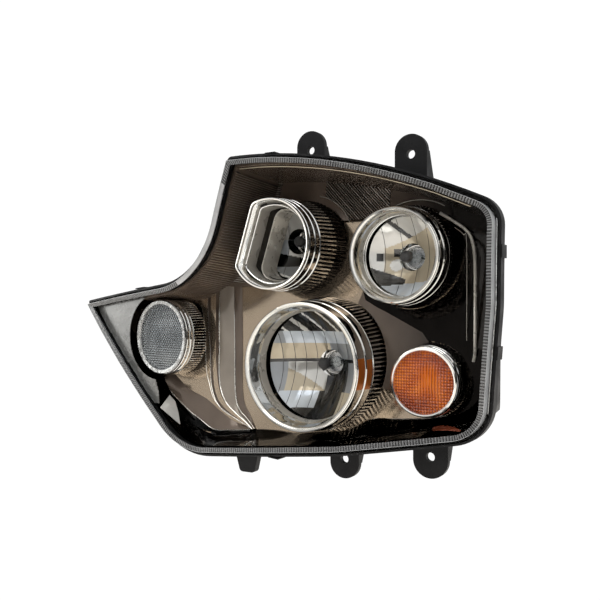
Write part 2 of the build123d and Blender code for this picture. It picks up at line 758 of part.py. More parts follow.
# ---------------------------------------------------------------- small bulbs
def make_holder(name, lamp):
    neck = lamp["neck"]
    end = NECK_END[name]
    glass = SMALL_BULB[name]
    with BuildPart() as holder:
        tube(lamp, 0.0, neck - 0.3, end - HOLDER_INSERT, end + 0.3)
        tube(lamp, 0.0, neck + 4.0, end + 0.3, end + HOLDER_RIM)
        with BuildSketch(across(lamp, end + HOLDER_RIM)):
            Rectangle(2 * neck - 2.0, 6.0)
        extrude(amount=-9.0)
        with BuildSketch(across(lamp, end + HOLDER_RIM)):
            Rectangle(12.0, 16.0)
        extrude(amount=-7.0)
    finish(holder.part, f"{name}_bulb_holder")

    start = end - HOLDER_INSERT
    tip = start - SMALL_BULB_LENGTH
    with BuildPart() as bulb:
        with BuildSketch(lamp_plane(lamp)):
            with BuildLine():
                Polyline((0.0, tip), (0.0, start), (glass * 0.7, start),
                         (glass * 0.7, start - 8.0), (glass, start - 14.0),
                         (glass, tip + glass))
                RadiusArc((glass, tip + glass), (0.0, tip), glass)
            make_face()
        revolve(axis=lamp_axis(lamp))
    finish(bulb.part, f"{name}_bulb")


def make_holder_seals():
    """Rubber grommets where the two small reflectors' necks leave the housing."""
    with BuildPart() as seals:
        for name in SMALL_LAMPS:
            neck = LAMPS[name]["neck"]
            end = NECK_END[name]
            tube(LAMPS[name], neck + NECK_WALL, neck + GROMMET, end - 11.0, end - 1.0)
    finish(seals.part, "holder_seals")


# ---------------------------------------------------------------- aiming gear
def spot(place, y):
    """Plane across an aiming axis at depth y, facing forwards."""
    return Plane(origin=(place[0], y, place[1]), x_dir=(1, 0, 0), z_dir=(0, -1, 0))


def rod(place, radius, front, back, mode=Mode.ADD):
    """A round bar along Y on an aiming axis."""
    with BuildSketch(spot(place, front)) as section:
        Circle(radius)
    extrude(section.sketch, amount=front - back, mode=mode)


def ball(place, radius, mode=Mode.ADD):
    with Locations((place[0], BALL_Y, place[1])):
        Sphere(radius, mode=mode)


def centre_of(name):
    return (LAMPS[name]["x"], LAMPS[name]["z"])


def arm(start, stop, width):
    """A round-ended arm between two points, drawn in the current sketch."""
    line = Vector(*stop) - Vector(*start)
    middle = (Vector(*start) + Vector(*stop)) * 0.5
    angle = Vector(1, 0, 0).get_signed_angle(line, Vector(0, 0, 1))
    with Locations(Location((middle.X, middle.Y, 0), angle)):
        SlotCenterToCenter(line.length, width)


def make_carrier():
    """Frame that holds the two beam reflectors and pivots on the ball."""
    front = BALL_Y - CARRIER_T / 2
    screws = carrier_screw_places()
    with BuildPart() as carrier:
        with BuildSketch(facing(front)):
            for name in MOVING_BEAMS:
                with Locations(centre_of(name)):
                    Circle(PAD)
                arm(centre_of(name), PIVOT, WIDE_ARM)
            arm(PIVOT, LEVEL, NARROW_ARM)
            arm(centre_of("low"), SIDE, NARROW_ARM)
            arm(PIVOT, SIDE, NARROW_ARM)
            for name in MOVING_BEAMS:
                with Locations(centre_of(name)):
                    Circle(BOSS_RADIUS + 0.1, mode=Mode.SUBTRACT)
        extrude(amount=-CARRIER_T)
        rod(PIVOT, PIVOT_HUB, BALL_Y - HUB_HALF, BALL_Y + HUB_HALF)
        rod(LEVEL, CUP_HUB, BALL_Y - HUB_HALF, BALL_Y + HUB_HALF)
        rod(SIDE, CUP_HUB, BALL_Y - HUB_HALF, BALL_Y + HUB_HALF)
        ball(PIVOT, SOCKET + RUNNING, mode=Mode.SUBTRACT)
        rod(PIVOT, SOCKET_MOUTH, BALL_Y, BALL_Y + 10.0, mode=Mode.SUBTRACT)
        rod(PIVOT, SOCKET_MOUTH, BALL_Y - 10.0, BALL_Y, mode=Mode.SUBTRACT)
        for place in (LEVEL, SIDE):
            rod(place, CUP, BALL_Y - 10.0, BALL_Y + 10.0, mode=Mode.SUBTRACT)
        with BuildSketch(facing(front)):
            with Locations(*screws):
                Circle(SCREW_SHANK)
        extrude(amount=-CARRIER_T, mode=Mode.SUBTRACT)
    finish(carrier.part, "reflector_carrier")


def carrier_screw_places():
    """Three screw places around each moving reflector's boss."""
    places = []
    for name in MOVING_BEAMS:
        centre = Vector(*centre_of(name))
        for angle in (60.0, 180.0, 300.0):
            place = centre + Vector(SCREW_CIRCLE, 0).rotate(Axis.Z, angle)
            places.append((place.X, place.Y))
    return places


def make_carrier_screws():
    with BuildPart() as screws:
        with BuildSketch(facing(BALL_Y + CARRIER_T / 2)):
            with Locations(*carrier_screw_places()):
                Circle(SCREW_HEAD)
        extrude(amount=-2.4)
        with BuildSketch(facing(BALL_Y - 6.0)):
            with Locations(*carrier_screw_places()):
                Circle(SCREW_SHANK)
        extrude(amount=-8.0)
    finish(screws.part, "carrier_screws")


def make_pivot():
    with BuildPart() as stud:
        ball(PIVOT, PIVOT_BALL)
        rod(PIVOT, STUD, BALL_Y, BOWL_BACK + 8.0)
        with BuildSketch(spot(PIVOT, BOWL_BACK)):
            RegularPolygon(5.5, 6)
        extrude(amount=-5.0)
    finish(stud.part, "pivot_ball_stud")

    with BuildPart() as socket:
        ball(PIVOT, SOCKET)
        with Locations((PIVOT[0], BALL_Y, PIVOT[1])):
            Box(30.0, 11.0, 30.0, mode=Mode.INTERSECT)
        ball(PIVOT, PIVOT_BALL + RUNNING, mode=Mode.SUBTRACT)
        rod(PIVOT, 4.4, BALL_Y, BALL_Y + 10.0, mode=Mode.SUBTRACT)
    finish(socket.part, "pivot_socket")


def make_ball_cup(place, name):
    """Nylon cup in the carrier that a spindle's ball snaps into."""
    with BuildPart() as cup:
        rod(place, CUP, BALL_Y - 6.5, BALL_Y + HUB_HALF)
        ball(place, BALL_RADIUS + BALL_PLAY, mode=Mode.SUBTRACT)
        rod(place, 4.6, BALL_Y, BALL_Y + 10.0, mode=Mode.SUBTRACT)
    finish(cup.part, name)


MOTOR_BACK = 98.0
MOTOR_RADIUS = 21.0
MOTOR_NOSE = 8.8
MOTOR_EDGE = 2.0
PLUG = (-4.0, 24.0)
PLUG_DEPTH = 24.0
LEVEL_KNOB = 9.0
HEX_KEY = 3.0


def make_levelling_motor():
    bore = LEVEL_SHAFT + RUNNING
    with BuildPart() as motor:
        rod(LEVEL, MOTOR_NOSE, 57.0, BOWL_BACK)
        rod(LEVEL, MOTOR_RADIUS, BOWL_BACK, MOTOR_BACK)
        with BuildSketch(spot(LEVEL, BOWL_BACK)):
            with Locations(PLUG):
                RectangleRounded(24.0, 26.0, 4.0)
        extrude(amount=-PLUG_DEPTH)
        chamfer(motor.faces().sort_by(Axis.Y)[-1].edges(), MOTOR_EDGE)
        with BuildSketch(spot(LEVEL, BOWL_BACK + PLUG_DEPTH)):
            with Locations(PLUG):
                Rectangle(16.0, 12.0)
        extrude(amount=-12.0)
        with BuildSketch(spot(LEVEL, BOWL_BACK + 22.0)):
            with Locations(PLUG):
                Rectangle(12.5, 8.5)
        extrude(amount=-20.0, mode=Mode.SUBTRACT)
        rod(LEVEL, bore, 50.0, 84.0, mode=Mode.SUBTRACT)
        rod(LEVEL, bore, 92.0, 110.0, mode=Mode.SUBTRACT)
    finish(motor.part, "levelling_motor")

    with BuildPart() as spindle:
        ball(LEVEL, BALL_RADIUS)
        rod(LEVEL, SPINDLE_NECK, BALL_Y, 54.0)
        rod(LEVEL, LEVEL_SHAFT, 52.0, 78.0)
    finish(spindle.part, "levelling_spindle")

    with BuildPart() as knob:
        rod(LEVEL, LEVEL_SHAFT, 93.0, MOTOR_BACK + 1.0)
        rod(LEVEL, LEVEL_KNOB, MOTOR_BACK + 0.4, MOTOR_BACK + 8.0)
        with BuildSketch(spot(LEVEL, MOTOR_BACK + 1.5)):
            with PolarLocations(LEVEL_KNOB, 12):
                Circle(1.0)
        extrude(amount=-6.5, mode=Mode.SUBTRACT)
        with BuildSketch(spot(LEVEL, MOTOR_BACK + 8.0)):
            RegularPolygon(HEX_KEY, 6)
        extrude(amount=4.0, mode=Mode.SUBTRACT)
    finish(knob.part, "levelling_knob")


SLEEVE = 6.5
GUIDE = 7.8
GUIDE_FLANGE = 11.0
SIDE_KNOB = 11.5


def make_side_adjuster():
    bore = SLEEVE + RUNNING
    with BuildPart() as guide:
        rod(SIDE, GUIDE, 58.0, BOWL_BACK)
        rod(SIDE, GUIDE_FLANGE, BOWL_BACK, 72.0)
        rod(SIDE, bore, 50.0, 80.0, mode=Mode.SUBTRACT)
    finish(guide.part, "side_adjuster_guide")

    with BuildPart() as spindle:
        ball(SIDE, BALL_RADIUS)
        rod(SIDE, SPINDLE_NECK, BALL_Y, 50.0)
        rod(SIDE, SIDE_SHAFT, 50.0, 74.0)
    finish(spindle.part, "side_adjuster_spindle")

    with BuildPart() as knob:
        rod(SIDE, SLEEVE, 59.0, 73.0)
        rod(SIDE, SIDE_KNOB, 72.4, 84.0)
        rod(SIDE, SIDE_SHAFT + RUNNING, 50.0, 81.0, mode=Mode.SUBTRACT)
        with BuildSketch(spot(SIDE, 74.0)):
            with PolarLocations(SIDE_KNOB, 14):
                Circle(1.1)
        extrude(amount=-10.0, mode=Mode.SUBTRACT)
    finish(knob.part, "side_adjuster_knob")


# ---------------------------------------------------------------- small fittings
CONNECTOR_FLANGE = (36.0, 26.0)
CONNECTOR_SHROUD = (30.0, 20.0)
CONNECTOR_MOUTH = (26.0, 16.0)
FLANGE_SHEET = 3.0
PIN = (2.2, 0.8)
VENT_STEM = 2.9
VENT_CAP = 8.0


def make_fittings():
    with BuildPart() as connector:
        with BuildSketch(spot(CONNECTOR, BOWL_BACK)):
            RectangleRounded(*CONNECTOR_FLANGE, 3.0)
        extrude(amount=-FLANGE_SHEET)
        with BuildSketch(spot(CONNECTOR, BOWL_BACK + FLANGE_SHEET)):
            RectangleRounded(*CONNECTOR_SHROUD, 2.5)
        extrude(amount=-21.0)
        with BuildSketch(spot(CONNECTOR, BOWL_BACK + 5.0)):
            RectangleRounded(*CONNECTOR_MOUTH, 1.5)
        extrude(amount=-30.0, mode=Mode.SUBTRACT)
        with BuildSketch(spot(CONNECTOR, BOWL_BACK)):
            Rectangle(23.6, 13.6)
        extrude(amount=6.0)
    finish(connector.part, "main_connector")

    with BuildPart() as pins:
        with BuildSketch(spot(CONNECTOR, BOWL_BACK + 5.0)):
            with GridLocations(6.0, 6.0, 4, 2):
                Rectangle(*PIN)
        extrude(amount=-9.0)
    finish(pins.part, "connector_pins")

    with BuildPart() as vents:
        for place in VENTS:
            rod(place, VENT_STEM, BOWL_BACK - WALL, BOWL_BACK + WALL)
            rod(place, VENT_CAP, BOWL_BACK + 2.0, BOWL_BACK + 9.0)
    finish(vents.part, "vent_caps")


make_lens()
make_housing()
make_brackets()
make_lens_clips()
make_bezel()
make_upper_bezel()
for lamp_name, lamp_spec in LAMPS.items():
    if lamp_name != "aux":
        make_ring(lamp_name, lamp_spec)
make_aux_ring()
for lamp_name in BEAMS:
    make_reflector(lamp_name, optics(lamp_name))
    make_bulb(lamp_name, optics(lamp_name))
    make_clip(lamp_name, optics(lamp_name))
    make_cap(lamp_name, optics(lamp_name))
for lamp_name in SMALL_LAMPS:
    make_small_reflector(lamp_name, LAMPS[lamp_name])
    make_small_lens(lamp_name, LAMPS[lamp_name])
    make_holder(lamp_name, LAMPS[lamp_name])
make_holder_seals()
make_carrier()
make_carrier_screws()
make_pivot()
make_ball_cup(LEVEL, "levelling_ball_cup")
make_ball_cup(SIDE, "side_adjuster_ball_cup")
make_levelling_motor()
make_side_adjuster()
make_fittings()
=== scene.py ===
from math import atan2, ceil, cos, exp, floor, hypot, pi, radians, sin, sqrt, tan

import bpy
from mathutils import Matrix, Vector


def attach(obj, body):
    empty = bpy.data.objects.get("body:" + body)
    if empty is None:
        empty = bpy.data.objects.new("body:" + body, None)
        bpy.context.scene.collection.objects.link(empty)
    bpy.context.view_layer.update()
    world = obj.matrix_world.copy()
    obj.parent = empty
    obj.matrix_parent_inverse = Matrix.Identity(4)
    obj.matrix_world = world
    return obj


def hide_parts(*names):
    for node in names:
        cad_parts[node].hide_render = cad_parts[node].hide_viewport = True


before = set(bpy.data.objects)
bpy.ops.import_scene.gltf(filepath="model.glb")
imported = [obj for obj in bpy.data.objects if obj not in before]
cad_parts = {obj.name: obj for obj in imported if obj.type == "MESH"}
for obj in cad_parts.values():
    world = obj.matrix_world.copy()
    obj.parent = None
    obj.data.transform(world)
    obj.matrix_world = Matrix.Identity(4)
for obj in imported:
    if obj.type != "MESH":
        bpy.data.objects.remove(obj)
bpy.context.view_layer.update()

# Lengths in this script are millimetres in the row frame until a mesh is made.
MM = 0.001

# ------------------------------------------------------------------ shared sizes
LENS_X, LENS_Y, LENS_Z = -110.0, -62.0, -165.0
PLAN_RADIUS, CROWN_RADIUS = 1000.0, 1200.0
FLOOR_Y, FLOOR_Z, FLOOR_SLOPE = 35.0, -90.0, 0.2
HOLLOW_X, HOLLOW_Z, HOLLOW_DEPTH, HOLLOW_SPREAD = -38.0, -205.0, 11.0, 34.0

LAMPS = {
    "low": dict(x=-102.0, z=-211.4, front=-45.0, ring=64.8, back=71.5, length=66.0,
                mouth=56.0, mouth_depth=28.0, bowl=57.5, bowl_depth=39.0, seat=48.0,
                rise=0.0, turn=0.0),
    "high": dict(x=-8.8, z=-100.3, front=-25.0, ring=46.9, back=54.0, length=60.0,
                 mouth=40.5, mouth_depth=20.0, bowl=40.0, bowl_depth=33.0, seat=48.0,
                 rise=0.0, turn=0.0),
    "aux": dict(x=-137.8, z=-86.3, front=-45.0, ring=47.0, back=52.0, length=79.0,
                bowl=38.0, bowl_depth=51.0, seat=58.0, rise=6.0, turn=0.0),
    "turn": dict(x=20.6, z=-222.6, front=-20.0, ring=33.5, back=37.5, length=31.0,
                 mouth=30.5, mouth_depth=3.0, rise=0.0, turn=0.0),
    "marker": dict(x=-298.3, z=-186.4, front=-22.0, ring=42.9, back=44.2, length=31.0,
                   mouth=37.5, mouth_depth=3.0, rise=0.0, turn=-10.0),
}


def lens_y(x, z, depth=0.0):
    """Y of the surface that lies depth behind the lens's outer face."""
    sag = CROWN_RADIUS - sqrt(CROWN_RADIUS ** 2 - (z - LENS_Z) ** 2)
    reach = PLAN_RADIUS - sag - depth
    return LENS_Y + PLAN_RADIUS - sqrt(reach ** 2 - (x - LENS_X) ** 2)


def plane_y(z):
    """Y of the flat part of the bezel's floor, which leans back towards the top."""
    return FLOOR_Y + FLOOR_SLOPE * (z - FLOOR_Z)


def floor_y(x, z):
    """Y of the mirror bezel's floor, with the soft hollow beside the low beam."""
    away = (x - HOLLOW_X) ** 2 + (z - HOLLOW_Z) ** 2
    return plane_y(z) + HOLLOW_DEPTH * exp(-away / (2 * HOLLOW_SPREAD ** 2))


def behind_lens(points, depth):
    """Points (x, z) set at a depth behind the lens's outer face."""
    return [(x, lens_y(x, z, depth), z) for x, z in points]


def on_floor(points, off):
    """Points (x, z) set on the bezel's floor, or off in front of it."""
    return [(x, floor_y(x, z) - off, z) for x, z in points]


def moved_back(points, by):
    return [(x, y + by, z) for x, y, z in points]


def between(path_a, path_b, t):
    """Points (x, z) at a share t of the way between two matching paths."""
    return [(p[0] + (q[0] - p[0]) * t, p[1] + (q[1] - p[1]) * t)
            for p, q in zip(path_a, path_b)]


# ------------------------------------------------------------------ outline
TOP_ARC = [(-196.0, 9.5), (-58.0, -3.7), (97.5, -57.0)]
CORNERS = [((-196.0, 9.5), 6.0), ((97.5, -57.0), 30.0), ((97.5, -150.0), 150.0),
           ((88.0, -273.0), 40.0), ((-58.0, -297.0), 200.0), ((-261.0, -318.0), 90.0),
           ((-441.0, -145.0), 2.5), ((-224.6, -118.4), 85.0)]
TOP_CHORDS = 24
SMALLEST_FILLET = 0.4


def circle_through(a, b, c):
    """The centre and radius of the circle through three points."""
    ax, ay, bx, by, cx, cy = *a, *b, *c
    d = 2 * (ax * (by - cy) + bx * (cy - ay) + cx * (ay - by))
    a2, b2, c2 = ax * ax + ay * ay, bx * bx + by * by, cx * cx + cy * cy
    ux = (a2 * (by - cy) + b2 * (cy - ay) + c2 * (ay - by)) / d
    uy = (a2 * (cx - bx) + b2 * (ax - cx) + c2 * (bx - ax)) / d
    return ux, uy, hypot(ax - ux, ay - uy)


def arc_points(centre, radius, start, stop, count):
    """count + 1 points (x, z) round a centre, from one angle to another in radians."""
    cx, cz = centre
    angles = [start + (stop - start) * k / count for k in range(count + 1)]
    return [(cx + radius * cos(a), cz + radius * sin(a)) for a in angles]


def base_polygon():
    """The outline's corners and fillet radii, with the top arc as short chords."""
    cx, cz, radius = circle_through(*TOP_ARC)
    start, _, stop = [atan2(z - cz, x - cx) for x, z in TOP_ARC]
    chords = arc_points((cx, cz), radius, start, stop, TOP_CHORDS)[3:-5]
    return [CORNERS[0]] + [(point, 0.0) for point in chords] + CORNERS[1:]


def outline(inset, step=2.0):
    """Points round the lamp's outline, moved inwards by inset. Every inset gives the
    same number of points, and they correspond."""
    corners = base_polygon()
    count = len(corners)
    starts, ways, lengths = [], [], []
    for k in range(count):
        (ax, az), (bx, bz) = corners[k][0], corners[(k + 1) % count][0]
        length = hypot(bx - ax, bz - az)
        ux, uz = (bx - ax) / length, (bz - az) / length
        starts.append((ax + uz * inset, az - ux * inset))
        ways.append((ux, uz))
        lengths.append(length)
    moved, fillets = [], []
    for k, (_, radius) in enumerate(corners):
        (px, pz), (ux, uz) = starts[k - 1], ways[k - 1]
        (qx, qz), (vx, vz) = starts[k], ways[k]
        cross = ux * vz - uz * vx
        if abs(cross) < 1e-6:
            moved.append((qx, qz))
        else:
            t = ((qx - px) * vz - (qz - pz) * vx) / cross
            moved.append((px + ux * t, pz + uz * t))
        bend = atan2(abs(cross), ux * vx + uz * vz)
        side = 1 if cross > 0 else -1
        r = max(radius + side * inset, SMALLEST_FILLET) if radius else 0.0
        fillets.append((r, side, bend, r * tan(bend / 2), radius * tan(bend / 2)))
    points = []
    for k, (_, radius) in enumerate(corners):
        (x, z), (ux, uz) = moved[k], ways[k - 1]
        r, side, bend, reach, tail = fillets[k]
        if radius:
            x, z = x - ux * reach, z - uz * reach
            centre = (x - uz * r * side, z + ux * r * side)
            start = atan2(z - centre[1], x - centre[0])
            n = max(4, ceil(radius * bend / step))
            points += arc_points(centre, r, start, start + side * bend, n)
        else:
            points.append((x, z))
        following = (k + 1) % count
        next_reach, next_tail = fillets[following][3:]
        n = max(1, floor((lengths[k] - tail - next_tail) / step))
        x, z = points[-1]
        (far_x, far_z), (vx, vz) = moved[following], ways[k]
        dx, dz = far_x - vx * next_reach - x, far_z - vz * next_reach - z
        points += [(x + dx * j / n, z + dz * j / n) for j in range(1, n)]
    return points


# ------------------------------------------------------------------ mesh helpers
def add_mesh(name, verts, faces, material, body="lamp", sharp=32.0):
    """A piece from millimetre points, smooth except along edges over sharp degrees."""
    mesh = bpy.data.meshes.new(name)
    mesh.from_pydata([(x * MM, y * MM, z * MM) for x, y, z in verts], [], faces)
    mesh.validate()
    mesh.shade_smooth()
    if sharp < 180.0:
        mesh.set_sharp_from_angle(angle=radians(sharp))
    mesh.materials.append(material)
    obj = bpy.data.objects.new(name, mesh)
    bpy.context.scene.collection.objects.link(obj)
    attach(obj, body)
    return obj


def repaint(obj, paints, pick):
    """Add paints to a mesh. pick(face, centre in mm) numbers the paint a face wears."""
    for paint in paints:
        obj.data.materials.append(paint)
    for face in obj.data.polygons:
        face.material_index = int(pick(face, face.center / MM))
    return obj


def skin(rows, cols, around=True, flip=False):
    """Quads over rows of points, the last row joined to the first. around closes each
    row too, and flip turns the quads over."""
    faces = []
    for i in range(rows):
        j = (i + 1) % rows
        for k in range(cols if around else cols - 1):
            m = (k + 1) % cols
            a, b, c, d = i * cols + k, i * cols + m, j * cols + m, j * cols + k
            faces.append((a, d, c, b) if flip else (a, b, c, d))
    return faces


def walled(verts, faces, shift):
    """A sheet's points and faces, with a shifted copy behind and a skirt between them."""
    size = len(verts)
    open_edges = {}
    for face in faces:
        for p, q in zip(face, face[1:] + face[:1]):
            if (q, p) in open_edges:
                del open_edges[(q, p)]
            else:
                open_edges[(p, q)] = True
    dx, dy, dz = shift
    verts = verts + [(x + dx, y + dy, z + dz) for x, y, z in verts]
    backs = [tuple(size + v for v in reversed(face)) for face in faces]
    skirt = [(q, p, size + p, size + q) for p, q in open_edges]
    return verts, faces + backs + skirt


def lamp_frame(lamp, on_axis=False):
    """The centre of a lamp's front, and its right, up and backward directions."""
    t = radians(lamp["turn"])
    z = lamp["z"] + (lamp["rise"] if on_axis else 0.0)
    origin = Vector((lamp["x"], lamp["front"], z))
    return origin, Vector((cos(t), sin(t), 0)), Vector((0, 0, 1)), Vector((-sin(t), cos(t), 0))


def lathe(name, lamp, profile, material, n=144, body="lamp",
          on_axis=False, sharp=32.0):
    """A ring turned about a lamp's axis from a closed profile of (radius, depth)."""
    origin, e1, e2, back = lamp_frame(lamp, on_axis)
    verts = []
    for i in range(n):
        t = 2 * pi * i / n
        out = e1 * cos(t) + e2 * sin(t)
        verts += [origin + out * r + back * d for r, d in profile]
    return add_mesh(name, verts, skin(n, len(profile)), material, body, sharp)


def loft(name, loops, material, around=True, sharp=32.0):
    """A skin over loops of points, the last joined to the first."""
    verts = [p for loop in loops for p in loop]
    faces = skin(len(loops), len(loops[0]), around)
    return add_mesh(name, verts, faces, material, sharp=sharp)


def sheet_grid(name, xs, zs, keep, depth, material, wall, body="lamp", edge=None,
               sharp=32.0):
    """A walled sheet over a grid of x and z, where keep says so. edge moves a rim point."""
    rings = [((i, j), (i + 1, j), (i + 1, j + 1), (i, j + 1))
             for i in range(len(xs) - 1) for j in range(len(zs) - 1)
             if keep((xs[i] + xs[i + 1]) / 2, (zs[j] + zs[j + 1]) / 2)]
    used = {}
    for ring in rings:
        for corner in ring:
            used[corner] = used.get(corner, 0) + 1
    verts, index = [], {}
    for (i, j), n in used.items():
        x, z = xs[i], zs[j]
        if edge and n < 4:
            x, z = edge(x, z)
        index[(i, j)] = len(verts)
        verts.append((x, depth(x, z), z))
    faces = [tuple(index[corner] for corner in ring) for ring in rings]
    verts, faces = walled(verts, faces, (0.0, wall, 0.0))
    return add_mesh(name, verts, faces, material, body, sharp)


def steps(start, stop, size):
    """Evenly spread values from start to stop, about size apart."""
    n = max(1, round((stop - start) / size))
    return [start + (stop - start) * k / n for k in range(n + 1)]


def wire(name, points, radius, material, body="lamp", sides=6):
    """A round bar along points, closed at both ends."""
    pts = [Vector(p) for p in points]
    verts = []
    up = Vector((0, 1, 0.2)).normalized()
    for before, p, after in zip(pts[:1] + pts, pts, pts[1:] + pts[-1:]):
        along = (after - before).normalized()
        side = along.cross(up).normalized()
        lift = side.cross(along)
        for s in range(sides):
            t = 2 * pi * s / sides
            verts.append(p + (side * cos(t) + lift * sin(t)) * radius)
    ends = [tuple(reversed(range(sides))),
            tuple((len(pts) - 1) * sides + s for s in range(sides))]
    # The skin's last row would join the bar's two ends, so it is left off.
    faces = skin(len(pts), sides)[:-sides] + ends
    return add_mesh(name, verts, faces, material, body)


def smooth_path(points, per=8):
    """Catmull-Rom points through a few given ones."""
    pts = [Vector(p) for p in points]
    pts = [pts[0] * 2 - pts[1]] + pts + [pts[-1] * 2 - pts[-2]]
    out = []
    for k in range(1, len(pts) - 2):
        a, b, c, d = pts[k - 1:k + 3]
        for j in range(per):
            t = j / per
            out.append(0.5 * (2 * b + (c - a) * t + (2 * a - 5 * b + 4 * c - d) * t * t
                              + (3 * b - a - 3 * c + d) * t ** 3))
    out.append(pts[-2])
    return out


# ------------------------------------------------------------------ materials
class Nodes:
    """A node tree built up a few nodes at a time."""

    def __init__(self, tree):
        self.nodes = tree.nodes
        self.links = tree.links
        self.nodes.clear()

    def add(self, kind, **settings):
        node = self.nodes.new("ShaderNode" + kind)
        for key, value in settings.items():
            setattr(node, key, value)
        return node

    def feed(self, socket, value):
        """Give a socket a value, or the output of another node."""
        if isinstance(value, bpy.types.NodeSocket):
            self.links.new(value, socket)
        else:
            socket.default_value = value

    def put(self, node, **values):
        for key, value in values.items():
            self.feed(node.inputs[key.replace("_", " ")], value)
        return node

    def ramp(self, fac, *stops):
        node = self.add("ValToRGB")
        self.feed(node.inputs["Fac"], fac)
        while len(node.color_ramp.elements) < len(stops):
            node.color_ramp.elements.new(0.5)
        for element, (at, colour) in zip(node.color_ramp.elements, stops):
            element.position = at
            if isinstance(colour, float):
                colour = (colour, colour, colour)
            element.color = (*colour, 1.0)
        return node.outputs["Color"]

    def joined(self, kind, *sources):
        """The output of a node whose first sockets take these in turn."""
        node = self.add(kind)
        for socket, source in zip(node.inputs, sources):
            self.feed(socket, source)
        return node.outputs[0]

    def light(self, kind, colour, strength):
        return self.put(self.add(kind), Color=colour, Strength=strength).outputs[0]


class Paint(Nodes):
    """The nodes of one material."""

    def __init__(self, name):
        self.mat = bpy.data.materials.new(name)
        self.mat.use_nodes = True
        super().__init__(self.mat.node_tree)
        self.out = self.add("OutputMaterial")
        self.place = self.add("TexCoord").outputs["Object"]

    def stretched(self, scale):
        mapping = self.put(self.add("Mapping"), Vector=self.place, Scale=scale)
        return mapping.outputs["Vector"]

    def noise(self, scale, detail=3.0, where=None):
        node = self.put(self.add("TexNoise"), Vector=where or self.place, Scale=scale,
                        Detail=detail)
        return node.outputs["Fac"]

    def faded(self, colour, start, stop, least):
        """The colour, darkened from one object X (metres) to another."""
        x = self.put(self.add("SeparateXYZ"), Vector=self.place).outputs["X"]
        spread = self.put(self.add("MapRange"), Value=x, From_Min=start, From_Max=stop,
                          To_Min=1.0, To_Max=least)
        scaled = self.add("VectorMath", operation="SCALE")
        self.feed(scaled.inputs[0], colour)
        self.feed(scaled.inputs["Scale"], spread.outputs["Result"])
        return scaled.outputs["Vector"]

    def bump(self, height, strength, distance):
        node = self.put(self.add("Bump"), Height=height, Strength=strength,
                        Distance=distance)
        return node.outputs["Normal"]

    def principled(self, **values):
        return self.put(self.add("BsdfPrincipled"), **values).outputs["BSDF"]

    def see_through(self, tint):
        return self.put(self.add("BsdfTransparent"), Color=tint).outputs["BSDF"]

    def worn(self, shader):
        """The finished material, with this shader on its surface."""
        self.feed(self.out.inputs["Surface"], shader)
        return self.mat


def plated(name, dark, light, rough=(0.03, 0.08), wavy=0.05, wave_scale=45.0, metal=1.0,
           fade=None):
    """Vacuum-plated plastic: a mirror with faint waviness and haze."""
    p = Paint(name)
    tone = p.ramp(p.noise(22.0), (0.3, dark), (0.7, light))
    haze = p.ramp(p.noise(90.0, 5.0), (0.35, rough[0]), (0.75, rough[1]))
    if fade:
        tone = p.faded(tone, *fade)
    return p.worn(p.principled(Base_Color=tone, Metallic=metal, Roughness=haze,
                               Normal=p.bump(p.noise(wave_scale, 2.0), wavy, 0.004)))


def moulded(name, dark, light, rough=(0.4, 0.6)):
    """Moulded plastic or rubber with a fine grain and slight colour change."""
    p = Paint(name)
    tone = p.ramp(p.noise(35.0, 4.0), (0.35, dark), (0.7, light))
    matt = p.ramp(p.noise(60.0, 4.0), (0.3, rough[0]), (0.75, rough[1]))
    return p.worn(p.principled(Base_Color=tone, Roughness=matt, Specular_IOR_Level=0.22,
                               Normal=p.bump(p.noise(900.0, 3.0), 0.25, 0.0004)))


def brushed(name, dark, light, rough=(0.18, 0.36), stretch=(900.0, 60.0, 900.0)):
    """Metal with fine lines drawn along one direction."""
    p = Paint(name)
    lines = p.noise(1.0, 4.0, p.stretched(stretch))
    tone = p.ramp(lines, (0.3, dark), (0.7, light))
    haze = p.ramp(lines, (0.3, rough[0]), (0.7, rough[1]))
    return p.worn(p.principled(Base_Color=tone, Metallic=1.0, Roughness=haze,
                               Normal=p.bump(lines, 0.15, 0.0003)))


def clear(name, tint, shine=0.05, edge=0.45, haze=0.02):
    """A thin clear wall: what is behind it shows, with a gloss that grows at an angle."""
    p = Paint(name)
    facing = p.put(p.add("LayerWeight"), Blend=0.35).outputs["Facing"]
    amount = p.ramp(facing, (0.0, shine), (0.62, shine), (1.0, edge))
    gloss = p.put(p.add("BsdfGlossy"), Color=(0.95, 0.97, 1.0, 1.0),
                  Roughness=p.ramp(p.noise(70.0, 3.0), (0.3, haze), (0.7, haze * 2.0)))
    return p.worn(p.joined("MixShader", amount, p.see_through(tint), gloss.outputs[0]))


def frosted(name, tint, pale, share):
    """Clear plastic that catches the light: part see-through, part pale."""
    p = Paint(name)
    paler = tuple(min(1.0, c * 1.25) for c in pale)
    body = p.principled(Roughness=0.22, Coat_Weight=0.6,
                        Base_Color=p.ramp(p.noise(60.0, 3.0), (0.3, pale), (0.7, paler)))
    amount = p.ramp(p.noise(25.0, 2.0), (0.2, share * 0.85), (0.8, min(1.0, share * 1.15)))
    return p.worn(p.joined("MixShader", amount, p.see_through(tint), body))


def amber_plastic(name, deep, middle, light):
    """Amber plastic, cloudy in three shades under a thin gloss."""
    p = Paint(name)
    tone = p.ramp(p.noise(38.0, 2.0), (0.3, deep), (0.5, middle), (0.72, light))
    return p.worn(p.principled(Base_Color=tone, Roughness=0.2, Coat_Weight=0.35,
                               Coat_Roughness=0.05,
                               Normal=p.bump(p.noise(200.0), 0.05, 0.0005)))


